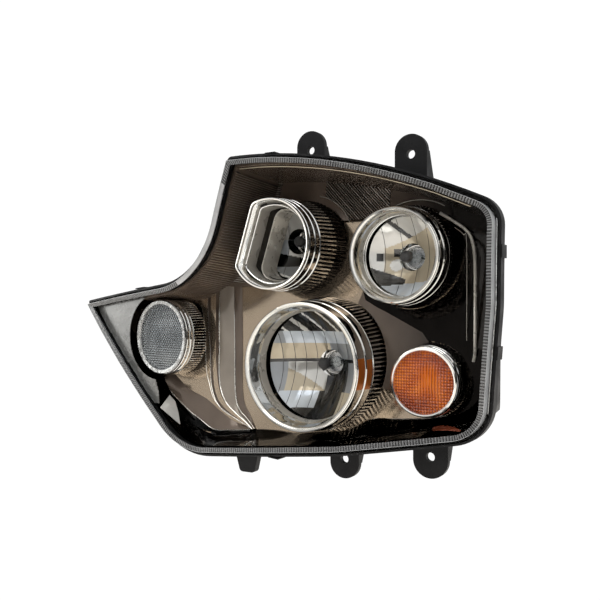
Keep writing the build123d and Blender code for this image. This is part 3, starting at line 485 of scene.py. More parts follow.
PRISM_DARK = plated("prism_wall_shade", (0.15, 0.16, 0.17), (0.24, 0.25, 0.26), (0.1, 0.2))
AMBER = amber_plastic("amber_plastic", (0.36, 0.05, 0.003), (0.62, 0.13, 0.006),
                      (0.86, 0.24, 0.012))
AMBER_GROOVE_SHADE = amber_plastic("amber_groove_shade", (0.18, 0.022, 0.002), (0.30, 0.045, 0.003),
                           (0.44, 0.09, 0.006))
CHROME = plated("bright_plating", (0.80, 0.80, 0.79), (0.90, 0.90, 0.89))
CHROME_WAVY = plated("rippled_plating", (0.66, 0.65, 0.62), (0.90, 0.89, 0.86),
                     (0.03, 0.12), 0.4, 38.0)
RIB_DARK = plated("rib_shadow", (0.012, 0.011, 0.011), (0.03, 0.028, 0.026), (0.12, 0.2))
CHROME_RIBS = plated("bright_plating_ribs", (0.74, 0.73, 0.72), (0.86, 0.85, 0.84),
                     (0.05, 0.12))
SATIN = plated("satin_plating", (0.46, 0.435, 0.39), (0.58, 0.55, 0.50), (0.25, 0.38),
               metal=0.45)
LIP = plated("lip_plating", (0.86, 0.84, 0.80), (0.95, 0.93, 0.89), (0.10, 0.2))
BRONZE = plated("bronze_plating", (0.47, 0.375, 0.275), (0.55, 0.44, 0.33),
                (0.13, 0.19), 0.05, 18.0, metal=0.82)
BROWN = plated("dark_plating_and_painted_shade", (0.14, 0.107, 0.085), (0.19, 0.147, 0.118), (0.12, 0.2),
               metal=0.4, fade=(-0.045, 0.03, 0.12))
FLUTE_LIGHT = plated("painted_flute_crest_highlight", (0.32, 0.29, 0.26), (0.48, 0.44, 0.39),
                     (0.12, 0.22), metal=0.5)
FLUTE_DARK = plated("painted_flute_groove_shade", (0.06, 0.047, 0.038), (0.09, 0.07, 0.058),
                    (0.12, 0.22), metal=0.5)
FLUTED = plated("fluted_plating_and_crest_highlight", (0.26, 0.225, 0.19), (0.38, 0.33, 0.28), (0.12, 0.2),
                metal=0.4)
DARK_GLOSS = plated("dark_gloss_and_pocket_shade", (0.006, 0.0055, 0.005), (0.014, 0.012, 0.011),
                    (0.05, 0.1))
# Painted reflections: cool, tan, dim, grey and white, worn by the mirror facets and a few bezel
# pieces. The dim one is also painted shade in the facet seams.
COOL_REFLECTION = plated("painted_cool_reflection", (0.62, 0.68, 0.76), (0.80, 0.86, 0.94), (0.08, 0.16),
                    0.1, 60.0, metal=0.4)
TAN_REFLECTION = plated("painted_tan_reflection", (0.56, 0.48, 0.36), (0.74, 0.65, 0.50), (0.08, 0.16),
                   0.1, 60.0, metal=0.4)
DIM_REFLECTION_AND_SHADE = plated("painted_dim_reflection_and_seam_shade", (0.05, 0.05, 0.052), (0.13, 0.13, 0.13), (0.08, 0.16))
GREY_REFLECTION = plated("painted_grey_reflection", (0.30, 0.32, 0.34), (0.46, 0.48, 0.51), (0.08, 0.16),
                    0.1, 60.0, metal=0.4)
WHITE_REFLECTION = plated("painted_white_reflection", (0.84, 0.83, 0.80), (0.95, 0.94, 0.91), (0.06, 0.12),
                     0.1, 60.0, metal=0.4)
AMBER_REFLECTION = plated("painted_amber_reflection", (0.42, 0.10, 0.012), (0.66, 0.19, 0.03),
                    (0.06, 0.12), metal=0.5)
GLOW = plated("amber_glow", (0.20, 0.045, 0.02), (0.32, 0.075, 0.035), (0.1, 0.2),
              metal=0.6)
TIP_BRIGHT = plated("marker_rim_plating", (0.26, 0.26, 0.26), (0.46, 0.46, 0.45),
                    (0.15, 0.3), 0.4, 120.0)
TIP_GREY = plated("tip_plating", (0.15, 0.15, 0.148), (0.205, 0.205, 0.20), (0.2, 0.35),
                  metal=0.35)
BLACK = moulded("black_housing", (0.004, 0.004, 0.0045), (0.010, 0.010, 0.011))
RUBBER = moulded("rubber", (0.012, 0.012, 0.012), (0.022, 0.022, 0.022), (0.6, 0.85))
NYLON_GREY = moulded("nylon_grey", (0.035, 0.036, 0.038), (0.06, 0.061, 0.064))
NYLON_WHITE = moulded("nylon_white", (0.55, 0.53, 0.47), (0.72, 0.70, 0.63), (0.35, 0.5))
STEEL = brushed("steel", (0.42, 0.43, 0.44), (0.66, 0.66, 0.67))
BRASS = brushed("brass", (0.55, 0.38, 0.14), (0.80, 0.60, 0.28))
WELL = moulded("well_floor", (0.012, 0.010, 0.008), (0.02, 0.017, 0.014), (0.5, 0.7))
TIP_PAINT = moulded("bulb_tip_paint", (0.06, 0.06, 0.062), (0.11, 0.11, 0.112),
                    (0.35, 0.5))
CLEAR_LENS = clear("clear_lens", (0.985, 0.985, 0.98, 1.0), 0.0, 0.2)
BULB_GLASS = clear("bulb_glass", (0.95, 0.96, 0.96, 1.0), 0.02, 0.5)
RIM_CLEAR = frosted("rim_clear", (0.8, 0.8, 0.81, 1.0), (0.19, 0.19, 0.195), 0.9)
RIM_PALE = frosted("rim_pale", (0.9, 0.9, 0.91, 1.0), (0.50, 0.50, 0.51), 0.95)
RIM_DARK = frosted("rim_groove_shade", (0.5, 0.5, 0.5, 1.0), (0.045, 0.045, 0.046), 0.85)
SKIRT_CLEAR = frosted("skirt_clear", (0.92, 0.94, 0.95, 1.0), (0.50, 0.51, 0.53), 0.9)
PRISM = plated("prism_optics", (0.20, 0.22, 0.235), (0.34, 0.355, 0.365), (0.08, 0.18))

CAD_PAINT = {
    "lens_cover": CLEAR_LENS, "housing": BLACK, "lens_seal": RUBBER,
    "holder_seals": RUBBER, "lower_inner_foot": BLACK, "carrier_screws": STEEL,
    "reflector_carrier": NYLON_GREY, "connector_pins": BRASS,
    "main_connector": NYLON_GREY, "lens_clips": BLACK,
    "levelling_ball_cup": NYLON_WHITE, "levelling_knob": NYLON_WHITE,
    "levelling_motor": NYLON_GREY, "levelling_spindle": STEEL,
    "pivot_ball_stud": STEEL, "pivot_socket": NYLON_WHITE,
    "side_adjuster_ball_cup": NYLON_WHITE, "side_adjuster_guide": NYLON_GREY,
    "side_adjuster_knob": NYLON_WHITE, "side_adjuster_spindle": STEEL,
    "vent_caps": RUBBER, "marker_bulb": BULB_GLASS, "turn_bulb": AMBER,
}
ENDINGS = {
    "_bulb_base": STEEL, "_bulb_clip": STEEL, "_bulb_glass": BULB_GLASS,
    "_cap_seal": RUBBER, "_cap": NYLON_GREY, "_holder": NYLON_GREY,
    "_reflector": CHROME, "_ring": CHROME, "_frame": SATIN, "_lens": CHROME,
}


def cad_paint(name):
    """The paint of a CAD node, by its name or by how its name ends."""
    if name in CAD_PAINT:
        return CAD_PAINT[name]
    for ending, material in ENDINGS.items():
        if name.endswith(ending):
            return material
    return BLACK


for node_name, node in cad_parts.items():
    node.data.materials.clear()
    node.data.materials.append(cad_paint(node_name))


# ------------------------------------------------------------------ ribbed barrels
RIB = [0.0, 0.0, 0.35, 1.0, 1.0, 0.35]
RIB_DEPTH = 1.9


def barrel_radius(lamp, depth):
    """A lamp barrel's outer radius at a depth behind its front."""
    return lamp["ring"] + (lamp["back"] - lamp["ring"]) * depth / lamp["length"]


def in_groove(k):
    """Whether the strip after point k of a ribbed loop lies in a groove."""
    return RIB[k % len(RIB)] + RIB[(k + 1) % len(RIB)] > 0.4


def rib_barrel(name, lamp, start, count):
    """A barrel's ribbed skirt: bright crests with dark grooves between them."""
    origin, e1, e2, back = lamp_frame(lamp)
    n, stop = count * len(RIB), lamp["length"]
    rows = [(start, 1.6, 0.0), (start, 0.2, 0.0), (start + 0.8, 0.0, 1.0)]
    rows += [(start + (stop - start) * t, 0.0, 1.0) for t in (0.3, 0.6, 0.97)]
    rows += [(stop, 0.5, 0.6), (stop, 3.0, 0.0)]
    verts = []
    for i in range(n):
        t = 2 * pi * i / n
        out = e1 * cos(t) + e2 * sin(t)
        for d, drop, rib in rows:
            r = barrel_radius(lamp, d) - drop - RIB_DEPTH * rib * RIB[i % len(RIB)]
            verts.append(origin + out * r + back * d)

    def shaded(face, _):
        i, k = divmod(face.index, len(rows))
        return k > 4 or (k > 1 and in_groove(i))

    obj = add_mesh(name, verts, skin(n, len(rows)), CHROME, sharp=30.0)
    repaint(obj, [RIB_DARK], shaded)


# ------------------------------------------------------------------ round lamp rings
BEAM_GROOVE, SMALL_GROOVE = 1.1, 0.9
KNEE = 0.55
HOOP_RADIUS = 1.3


def ring_profile(lamp, bands, ribs_from, groove):
    """Lip, stepped smooth bands, ribs, and the inside back to the funnel."""
    ring, back, length = lamp["ring"], lamp["back"], lamp["length"]
    profile = [(ring - 3.0, 0.5), (ring - 2.1, 0.05), (ring - 1.0, 0.0), (ring - 0.2, 0.7),
               (ring, 1.9)]
    for start, stop in bands:
        near, far = barrel_radius(lamp, start), barrel_radius(lamp, stop)
        profile += [(near - groove, start - 0.9), (near - groove, start - 0.2),
                    (near - 0.1, start + 0.5), (far - 0.1, stop - 0.5)]
    foot = barrel_radius(lamp, ribs_from)
    return profile + [(foot - groove, ribs_from - 0.4), (foot - 2.6, ribs_from + 1.0),
                      (back - 3.4, length - 0.5)]


def lamp_ring(name, profile, material, n, ribs_from, ribs, lip, lip_paint, lip_n):
    """A lamp's ring, which stands for the CAD ring, with its ribs and its bright lip."""
    lamp = LAMPS[name]
    obj = lathe(name + "_ring_detail", lamp, profile, material, n)
    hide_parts(name + "_ring")
    rib_barrel(name + "_ring_ribs", lamp, ribs_from, ribs)
    lathe(name + "_ring_lip", lamp, lip, lip_paint, lip_n)
    return obj


def beam_ring(name, bands, ribs_from, ribs):
    """The ring and funnel of the low or the high beam."""
    lamp = LAMPS[name]
    ring, mouth, depth = lamp["ring"], lamp["mouth"], lamp["mouth_depth"]
    knee = KNEE * depth
    profile = ring_profile(lamp, bands, ribs_from, BEAM_GROOVE)
    profile += [(ring - 2.2, 4.5), (mouth + 3.0, knee + 1.2), (mouth + 2.6, depth),
                (mouth + 1.0, depth + 0.3), (mouth + 0.1, depth - 0.2),
                (mouth + 0.9, knee + 3.0), (mouth + 1.2, knee + 1.2),
                (mouth + 2.0, knee), (mouth + 2.4, knee - 1.5), (ring - 4.6, 4.0),
                (ring - 4.2, 2.0)]
    lip = [(ring - 3.6, 1.1), (ring - 2.4, -0.35), (ring - 1.1, -0.45), (ring - 0.1, 0.35),
           (ring + 0.12, 1.6), (ring - 1.2, 1.2)]
    funnel = [(mouth - 0.1, depth - 0.4), (mouth + 0.7, knee + 3.0), (mouth + 1.0, knee + 1.4),
              (mouth + 1.35, knee + 1.6), (mouth + 1.1, knee + 3.2), (mouth + 0.35, depth)]
    obj = lamp_ring(name, profile, CHROME_WAVY, 240, ribs_from, ribs, lip, LIP, 180)
    lathe(name + "_ring_funnel", lamp, funnel, SATIN, 180)
    return obj


def small_ring(name, bands, ribs_from, ribs, lip_paint):
    """The ring of the turn lamp or the marker lamp."""
    lamp = LAMPS[name]
    ring, mouth, depth = lamp["ring"], lamp["mouth"], lamp["mouth_depth"]
    profile = ring_profile(lamp, bands, ribs_from, SMALL_GROOVE)
    profile += [(ring - 2.2, 4.5), (mouth + 1.4, depth + 1.2), (mouth + 0.2, depth + 0.6),
                (mouth + 0.1, depth - 0.6), (mouth + 0.7, 0.8)]
    lip = [(mouth - 0.3, 1.2), (mouth + 0.4, -0.2), (ring - 1.4, -0.6), (ring - 0.2, 0.1),
           (ring + 0.1, 1.4), (ring - 0.8, 1.0), (mouth + 0.6, 1.9)]
    lamp_ring(name, profile, CHROME, 192, ribs_from, ribs, lip, lip_paint, 144)


def amber_streak(_, centre):
    """Where the turn lamp's amber light is painted as a reflection on the low beam's ring."""
    lamp = LAMPS["low"]
    dx, dy, dz = centre - lamp_frame(lamp)[0]
    return (dx > 0.93 * lamp["ring"] and -20.5 < dz < 9.5
            and (4.0 < dy < 15.5 or 20.5 < dy < 30.0))


# The low beam's ring wears a painted reflection of the turn lamp's amber light.
repaint(beam_ring("low", [(3.2, 16.5), (19.0, 31.0)], 33.0, 96), [AMBER_REFLECTION], amber_streak)
beam_ring("high", [(3.0, 11.0), (13.0, 22.0)], 24.0, 84)

# Hoops between the high beam's funnel and its reflector.
for k, centre in enumerate(((42.0, 23.2), (41.6, 26.6))):
    hoop = arc_points(centre, HOOP_RADIUS, 0.0, 2 * pi, 10)[:-1]
    lathe(f"high_hoop_{k}", LAMPS["high"], hoop, CHROME, sharp=180)

small_ring("turn", [(2.8, 6.0), (7.6, 11.0)], 12.4, 66, LIP)
small_ring("marker", [(2.8, 6.2), (7.8, 11.4)], 13.0, 84, TIP_BRIGHT)


# ------------------------------------------------------------------ auxiliary frame
AUX_LEAN = radians(17.7)
AUX_PIN = 9.0
AUX_FLAT, AUX_CORNER = 31.0, 9.0
AUX_RIBS, AUX_FLARE = 80, tan(radians(3.6))


def d_shape(radius, flat, corner, n):
    """A circle with a leaning flat on its left, rounded at both ends, as (x, z)."""
    nx, nz = -cos(AUX_LEAN), sin(AUX_LEAN)
    inner = -flat * nx + AUX_PIN * nz - corner
    half = sqrt(max((radius - corner) ** 2 - inner ** 2, 0.0))
    ends = [(nx * inner + side * half * nz, nz * inner - side * half * nx)
            for side in (1, -1)]
    lower, upper = sorted(ends, key=lambda end: end[1])
    flat_angle = atan2(nz, nx)
    up_angle = atan2(upper[1], upper[0])
    low_angle = atan2(lower[1], lower[0]) + 2 * pi
    big, small = int(n * 0.62), int(n * 0.12)
    straight = n - big - 2 * small
    points = arc_points((0.0, 0.0), radius, low_angle - 2 * pi, up_angle, big)[:-1]
    points += arc_points(upper, corner, up_angle, flat_angle, small)[:-1]
    dx, dz = corner * cos(flat_angle), corner * sin(flat_angle)
    for k in range(straight):
        t = k / straight
        points.append((upper[0] + dx + (lower[0] - upper[0]) * t,
                       upper[1] + dz + (lower[1] - upper[1]) * t))
    return points + arc_points(lower, corner, flat_angle, low_angle, small)[:-1]


def d_loop(depth, radius, flat, corner, n=180):
    """The leaning D shape at a depth behind the auxiliary lamp's front."""
    lamp = LAMPS["aux"]
    return [(lamp["x"] + x, lamp["front"] + depth, lamp["z"] + z)
            for x, z in d_shape(radius, flat, corner, n)]


def aux_loops(rows, n=180):
    """Loops round the frame from (depth, how much larger than the frame's front)."""
    return [d_loop(d, LAMPS["aux"]["ring"] + g, AUX_FLAT + g, max(3.0, AUX_CORNER + 0.5 * g), n)
            for d, g in rows]


AUX_BANDS = [(0.9, -1.9), (0.1, -0.9), (0.0, -0.4), (1.2, 0.0), (3.0, 0.1), (3.4, -0.8),
             (4.0, -0.8), (4.6, 0.25), (12.5, 0.75), (13.0, -0.2), (14.0, -0.2),
             (14.6, 0.9), (22.0, 1.3), (22.6, 0.3), (23.6, 0.3), (24.2, 1.5)]
AUX_RIBBED = [(depth, AUX_FLARE * depth) for depth in (26.0, 40.0, 55.0, 70.0, 79.0)]
AUX_INSIDE = [(79.0, AUX_FLARE * 79.0 - 2.6), (28.0, AUX_FLARE * 28.0 - 2.4), (5.0, -2.4),
              (2.0, -2.6)]


def aux_barrel():
    """The auxiliary lamp's barrel: smooth bands, then ribs, and its smooth inside."""
    lamp, n = LAMPS["aux"], AUX_RIBS * len(RIB)
    loops = aux_loops(AUX_BANDS, n)
    for loop in aux_loops(AUX_RIBBED, n):
        row = []
        for k, (x, y, z) in enumerate(loop):
            out = Vector((x - lamp["x"], 0, z - lamp["z"])).normalized()
            row.append(Vector((x, y, z)) - out * RIB_DEPTH * RIB[k % len(RIB)])
        loops.append(row)
    loops += aux_loops(AUX_INSIDE, n)

    def shaded(face, _):
        row, col = divmod(face.index, n)
        ribbed = row - len(AUX_BANDS)
        return 0 <= ribbed < len(AUX_RIBBED) and (in_groove(col) or ribbed > 1)

    obj = loft("aux_ring_detail", loops, CHROME)
    repaint(obj, [RIB_DARK], shaded)
    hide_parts("aux_ring")


aux_barrel()
for name, rows, paint in (
        ("aux_lip", [(1.6, -2.4), (-0.3, -1.9), (-0.7, -1.0), (-0.4, -0.2), (0.9, 0.15),
                     (1.2, -0.9)], LIP),
        ("aux_lip_band", [(0.8, -1.6), (3.0, -3.6), (9.6, -6.0), (10.2, -6.8), (10.9, -6.9),
                          (11.2, -6.2), (9.8, -5.0), (3.4, -2.4)], CHROME),
        ("aux_wall", [(10.6, -6.7), (27.6, -8.0), (27.8, -7.4), (10.8, -6.1)], SATIN)):
    loft(name, aux_loops(rows), paint)
loft("aux_well", [d_loop(27.2, 39.6, 23.6, 5.0), d_loop(27.2, 36.0, 13.0, 9.0),
                  d_loop(28.6, 36.0, 13.0, 9.0), d_loop(28.6, 39.6, 23.6, 5.0)],
     WELL)
inner = loft("aux_inner_detail",
             [d_loop(22.0, 37.4, 11.2, 13.0), d_loop(21.3, 38.0, 11.8, 13.4),
              d_loop(22.2, 38.6, 12.4, 13.8), d_loop(30.0, 38.6, 12.4, 13.8),
              d_loop(49.0, 37.6, 10.8, 13.0), d_loop(49.0, 36.4, 9.6, 12.0),
              d_loop(30.0, 36.6, 10.2, 12.4)], SATIN)
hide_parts("aux_inner_frame")


# ------------------------------------------------------------------ faceted reflectors
BULB_HOLE, BOSS = 15.0, 10.0
SEAM, LEDGE = 0.55, 0.12
FACET_STEP = 1.15
COOL, TAN, DIM, GREY, WHITE = range(5)
REFLECTION_PAINTS = (COOL_REFLECTION, TAN_REFLECTION, DIM_REFLECTION_AND_SHADE, GREY_REFLECTION, WHITE_REFLECTION)


def bowl_depth(lamp, r, liner):
    """Depth of the reflector's bowl at radius r, as the CAD has it, less the liner."""
    boss = lamp["seat"] - lamp["front"] - BOSS
    share = (r * r - BULB_HOLE ** 2) / (lamp["bowl"] ** 2 - BULB_HOLE ** 2)
    return boss - share * (boss - lamp["bowl_depth"]) - liner


def across_cell(edges, value, outer):
    """Where a value lies in its cell between two edges, from -1 to 1."""
    cell = max(k for k, edge in enumerate(edges) if value >= edge)
    low = edges[cell]
    high = edges[cell + 1] if cell + 1 < len(edges) else outer
    return (value - low) / max(high - low, 1.0) * 2 - 1


def facets(name, lamp, body, columns, rows, belly, flat, tint, keep=None):
    """A liner of moulded mirror facets: upright columns cut by a few level rows. Each facet
    wears the painted reflection that tint picks, and the seams wear painted shade.
    """
    x0, z0 = lamp["x"], lamp["z"] + lamp["rise"]
    outer = lamp["bowl"] - 0.3

    def depth(x, z):
        dx, dz = x - x0, z - z0
        r = min(hypot(dx, dz), outer)
        deep = bowl_depth(lamp, max(r, 12.0), 0.5)
        y = lamp["front"] + deep - flat * (deep - lamp["bowl_depth"])
        u, v = across_cell(columns, dx, outer), across_cell(rows, dz, outer)
        share = max(0.0, 1.0 - (r / outer) ** 2) * 0.6 + 0.4
        return y - belly * share * (u * u) - 0.35 * v * v - 0.2

    def inside(x, z):
        r = hypot(x - x0, z - z0)
        return 13.5 < r < outer and (keep is None or keep(x - x0, z - z0))

    def rim(x, z):
        r = hypot(x - x0, z - z0)
        if r > outer - 2.0:
            k = outer / r
        elif r < 16.0:
            k = 14.0 / r
        else:
            return x, z
        return x0 + (x - x0) * k, z0 + (z - z0) * k

    # Seams wear the dim paint as painted shade. Other faces wear the painted reflection that
    # tint picks.
    def paint(_, centre):
        dx, _, dz = centre - Vector((x0, 0.0, z0))
        return DIM if any(edge - SEAM < dx < edge for edge in columns) else tint(dx, dz)

    xs = set(steps(x0 - outer, x0 + outer, FACET_STEP))
    xs.update(x0 + edge - gap for edge in columns[1:] for gap in (SEAM, 0.0))
    zs = set(steps(z0 - outer, z0 + outer, FACET_STEP))
    zs.update(z0 + edge - gap for edge in rows[1:] for gap in (LEDGE, 0.0))
    obj = sheet_grid(name, sorted(xs), sorted(zs), inside, depth, REFLECTION_PAINTS[0],
                     0.3, body, rim, 24.0)
    repaint(obj, REFLECTION_PAINTS[1:], paint)


def low_reflection_paint(dx, dz):
    """Which painted reflection lies at an offset from the low beam's axis."""
    if dz > 34.0:
        return WHITE if abs(dx + 0.8 * dz - 6.0) % 17.0 < 3.0 else DIM
    if dz > 21.0:
        return GREY if dx < -43.0 else COOL
    if dz > 4.0:
        return TAN if dx < 0.0 else GREY
    if dz > 0.5:
        return DIM
    if dz > -30.0:
        if dx > -4.0:
            return DIM if dx < 22.0 else GREY
        if dx < -43.0:
            return GREY
        return WHITE if dz > -14.0 - 0.6 * (dx + 30.0) else TAN
    if -10.0 < dx < 18.0 or (dz < -47.0 and dx < 0):
        return DIM
    return COOL if dx < 0 else TAN


def high_reflection_paint(dx, dz):
    """Which painted reflection lies at an offset from the high beam's axis."""
    if dz < -27.0 + 0.1 * dx:
        return COOL
    if dz < -15.0 - 0.35 * (dx + 27.0) and dx < -5.0:
        return DIM
    if -34.0 < dx < -28.0 and -4.0 < dz < 4.0 or -19.0 < dx < -11.0 and 1.0 < dz < 9.0:
        return DIM
    if dx < -27.0:
        return WHITE
    if dz > 12.0 + 0.4 * (dx + 20.0):
        return DIM if abs(dz - 28.0 + 0.9 * (dx + 10.0)) < 3.0 else WHITE
    return WHITE if hypot(dx + 16.0, dz + 8.0) < 6.0 else TAN


def aux_reflection_paint(dx, dz):
    """Which painted reflection lies at an offset from the auxiliary lamp's axis."""
    if dz < -17.0 - 0.2 * dx:
        return DIM if dz > -27.0 else GREY
    return COOL if dx < -12.0 and dz < 2.0 else WHITE


def right_of_flat(dx, dz):
    """Whether an offset from the auxiliary lamp's axis is clear of its leaning flat."""
    return dx * cos(AUX_LEAN) - (dz - 3.0) * sin(AUX_LEAN) > -26


FIRST = -99
facets("low_facets", LAMPS["low"], "carrier", [FIRST, -47, -37, -27, -16, -4, 9, 22, 35, 47],
       [FIRST, -30, 21], 0.5, 0.25, low_reflection_paint)
facets("high_facets", LAMPS["high"], "carrier", [FIRST, -26, -10, 6, 20], [FIRST, -20],
       0.4, 0.4, high_reflection_paint)
facets("aux_facets", LAMPS["aux"], "lamp", [FIRST, -12, 6], [FIRST, -13], 0.3, 0.7, aux_reflection_paint,
       right_of_flat)


TIP_REACH, COIL_REACH = 43.0, 27.0
COIL_TURNS, COIL_POINTS, COIL_RADIUS, COIL_LENGTH = 13, 10, 0.9, 4.8


def throat(name, body):
    """Turned steps round the bulb hole, the bulb's painted tip, and its filament."""
    lamp = LAMPS[name]
    seat = lamp["seat"] - lamp["front"]
    boss, tip = seat - BOSS, seat - TIP_REACH
    rings = [(15.2, boss - 2.2), (14.2, boss - 3.2), (13.2, boss - 2.4), (12.8, boss - 0.6),
             (11.8, boss - 1.0), (11.4, boss + 0.8), (10.9, boss + 1.0), (10.8, boss + 4.0),
             (11.3, boss + 4.0), (12.0, boss + 2.2), (14.6, boss - 0.6)]
    lathe(name + "_throat", lamp, rings, CHROME_RIBS, 96, body=body, on_axis=True)
    cap = [(0.01, tip - 0.15), (3.4, tip + 0.05), (5.4, tip + 1.5), (6.1, tip + 3.8),
           (6.12, tip + 7.5), (6.02, tip + 7.5), (5.9, tip + 4.2), (0.01, tip + 0.6)]
    lathe(name + "_bulb_paint", lamp, cap, TIP_PAINT, 48, body, True)
    origin, e1, e2, back = lamp_frame(lamp, True)
    coil = []
    count = COIL_TURNS * COIL_POINTS
    for k in range(count + 1):
        t = 2 * pi * k / COIL_POINTS
        coil.append(origin + e1 * cos(t) * COIL_RADIUS + e2 * sin(t) * COIL_RADIUS
                    + back * (seat - COIL_REACH + COIL_LENGTH * k / count))
    wire(name + "_filament", coil, 0.14, STEEL, body, 5)
    for k, turns in enumerate(((-1.2, -1.8, -2.6, -2.6), (1.2, 1.8, 1.0, 0.9))):
        leg = [origin + e1 * aside + back * (seat - reach)
               for aside, reach in zip(turns, (8.8, 16.0, 22.3, COIL_REACH))]
        wire(f"{name}_lead_{k}", smooth_path(leg, 5), 0.3, STEEL, body)


for lamp_name, lamp_body in (("low", "carrier"), ("high", "carrier"), ("aux", "lamp")):
    throat(lamp_name, lamp_body)


# ------------------------------------------------------------------ small lenses
LENS_WALL = 2.4
DISC_STEP = 0.58
BAR_PITCH, BAR_HEIGHT, BAR_FOOT = 2.9, 1.15, 0.34


def amber_relief(u, v):
    """The turn lens's relief: upright bars in the middle, pillows all round."""
    flute = abs(sin(pi * u / BAR_PITCH))
    pillow = flute * abs(sin(pi * v / BAR_PITCH))
    centre = exp(-((u - 5.0) / 11.0) ** 4 - ((v - 2.0) / 15.0) ** 4)
    return BAR_HEIGHT * (centre * flute + (1 - centre) * pillow)


def turn_lens():
    """The turn lens: its front carries the relief, and its back is the same relief set back by
    the lens's wall.
    """
    lamp = LAMPS["turn"]
    radius = lamp["mouth"] + 0.3
    origin, e1, e2, back = lamp_frame(lamp)
    xs = steps(-radius, radius, DISC_STEP)

    def keep(u, v):
        return hypot(u, v) < radius - 0.2 * DISC_STEP

    def rim(u, v):
        r = hypot(u, v)
        return (u * radius / r, v * radius / r) if r > radius - 2.5 * DISC_STEP else (u, v)

    def depth(u, v):
        r = hypot(u, v) / radius
        return 1.2 + 2.6 * r * r - amber_relief(u, v) * min(1.0, (1.02 - r) * 12)

    obj = sheet_grid("turn_lens_detail", xs, xs, keep, depth, AMBER, LENS_WALL,
                     edge=rim, sharp=18.0)
    for vertex in obj.data.vertices:
        u, d, v = vertex.co / MM
        vertex.co = (origin + e1 * u + e2 * v + back * d) * MM
    # Faces low in the relief, between the bars and pillows, wear painted shade.
    repaint(obj, [AMBER_GROOVE_SHADE], lambda _, c: amber_relief(
        c.x - lamp["x"], c.z - lamp["z"]) < BAR_FOOT)
    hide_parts("turn_lens")


turn_lens()


def honeycomb():
    """The marker lens: a disc of small six-sided domes."""
    lamp = LAMPS["marker"]
    radius = lamp["mouth"] + 0.3
    origin, e1, e2, back = lamp_frame(lamp)
    pitch = 3.1
    half = pitch / sqrt(3)
    verts, faces, index = [], [], {}

    def at(u, v, raised):
        """The index of the disc's point at (u, v), which neighbours share."""
        key = (round(u, 2), round(v, 2))
        if key not in index:
            r = min(hypot(u, v), radius)
            k = r / max(hypot(u, v), 1e-6)
            d = 1.3 + 2.4 * (r / radius) ** 2 - raised
            index[key] = len(verts)
            verts.append(origin + e1 * u * k + e2 * v * k + back * d)
        return index[key]

    def hexagon(u, v, size, raised):
        return [at(u + size * sin(pi / 3 * s), v + size * cos(pi / 3 * s), raised)
                for s in range(6)]

    reach = int(radius / pitch) + 6
    for i in range(-reach, reach + 1):
        for j in range(-reach, reach + 1):
            u = pitch * (i + 0.5 * (j % 2))
            v = 1.5 * half * j
            if hypot(u, v) > radius + 0.6 * half:
                continue
            ring, mid = hexagon(u, v, half, 0.0), hexagon(u, v, 0.5 * half, 0.55)
            top = at(u, v, 0.75)
            for s in range(6):
                t = (s + 1) % 6
                faces.append((ring[s], mid[s], mid[t], ring[t]))
                faces.append((mid[s], top, mid[t]))
    verts, faces = walled(verts, faces, back * 2.6)
    obj = add_mesh("marker_lens_detail", verts, faces, PRISM, sharp=14.0)
    half_way = len(obj.data.polygons) // 2
    # The domes' four-sided walls among the first half of the faces wear painted shade.
    repaint(obj, [PRISM_DARK],
            lambda face, _: len(face.vertices) == 4 and face.index < half_way)
    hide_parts("marker_lens")


honeycomb()


# ------------------------------------------------------------------ bezel
# How far inside the outline the edges of the bezel's pieces run.
FLOOR_INSET, PANEL_INSET, TIP_INSET = 18.8, 18.4, 10.2
WALL_FOOT, WALL_TOP, WALL_RIM = 19.6, 10.9, 8.8
WALL_DEPTH, WALL_RIM_BACK = 16.6, 18.0
BARREL_OVERLAP = 2.6
HOUSING_X, HOUSING_LEAN = 84.4, 0.3057


def in_outline(inset):
    """A test for lying inside the outline, by crossing count."""
    poly = outline(inset, 6.0)

    def test(x, z):
        inside = False
        for (ax, az), (bx, bz) in zip(poly, poly[1:] + poly[:1]):
            if (az > z) != (bz > z) and x < (bx - ax) * (z - az) / (bz - az) + ax:
                inside = not inside
        return inside

    return test


def right_limit(y):
    """How far outboard the bezel may reach at a depth, inside the leaning housing."""
    return HOUSING_X - HOUSING_LEAN * y


def away(name, x, z):
    """How far (x, z) lies from a lamp's axis."""
    return hypot(x - LAMPS[name]["x"], z - LAMPS[name]["z"])


def clear_of_lamps(x, z, names=tuple(LAMPS)):
    """Whether the floor at (x, z) is outside every named lamp's barrel."""
    y = floor_y(x, z)
    for name in names:
        lamp = LAMPS[name]
        if away(name, x, z) < barrel_radius(lamp, y - lamp["front"]) - BARREL_OVERLAP:
            return False
    return True


floor_inside = in_outline(FLOOR_INSET)
bezel = sheet_grid("bezel_floor", steps(-430, 92, 2.0), steps(-312, 2, 2.0),
                   lambda x, z: (floor_inside(x, z) and clear_of_lamps(x, z)
                                 and x < right_limit(floor_y(x, z))), floor_y, BRONZE,
                   1.2)
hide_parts("bezel", "upper_bezel")


def wall_loops(step, flute):
    """The bezel's outer wall, from its rim behind the lens back to the floor."""
    front = behind_lens(outline(WALL_TOP, step), WALL_DEPTH)
    back = on_floor(outline(WALL_FOOT, step), -1.0)
    rim = outline(WALL_RIM, step)
    rows = []
    for share in (0.0, 0.04, 0.3, 0.55, 0.8, 1.0):
        row = []
        for k, (p, q) in enumerate(zip(front, back)):
            t = share + (flute if share > 0.03 and k % 4 in (1, 2) else 0.0)
            y = p[1] + (q[1] - p[1]) * share
            row.append((min(p[0] + (q[0] - p[0]) * t, right_limit(y)), y,
                        p[2] + (q[2] - p[2]) * t))
        rows.append(row)
    return [behind_lens(rim, WALL_DEPTH), *rows, moved_back(rows[-1], 1.2),
            behind_lens(rim, WALL_RIM_BACK)]


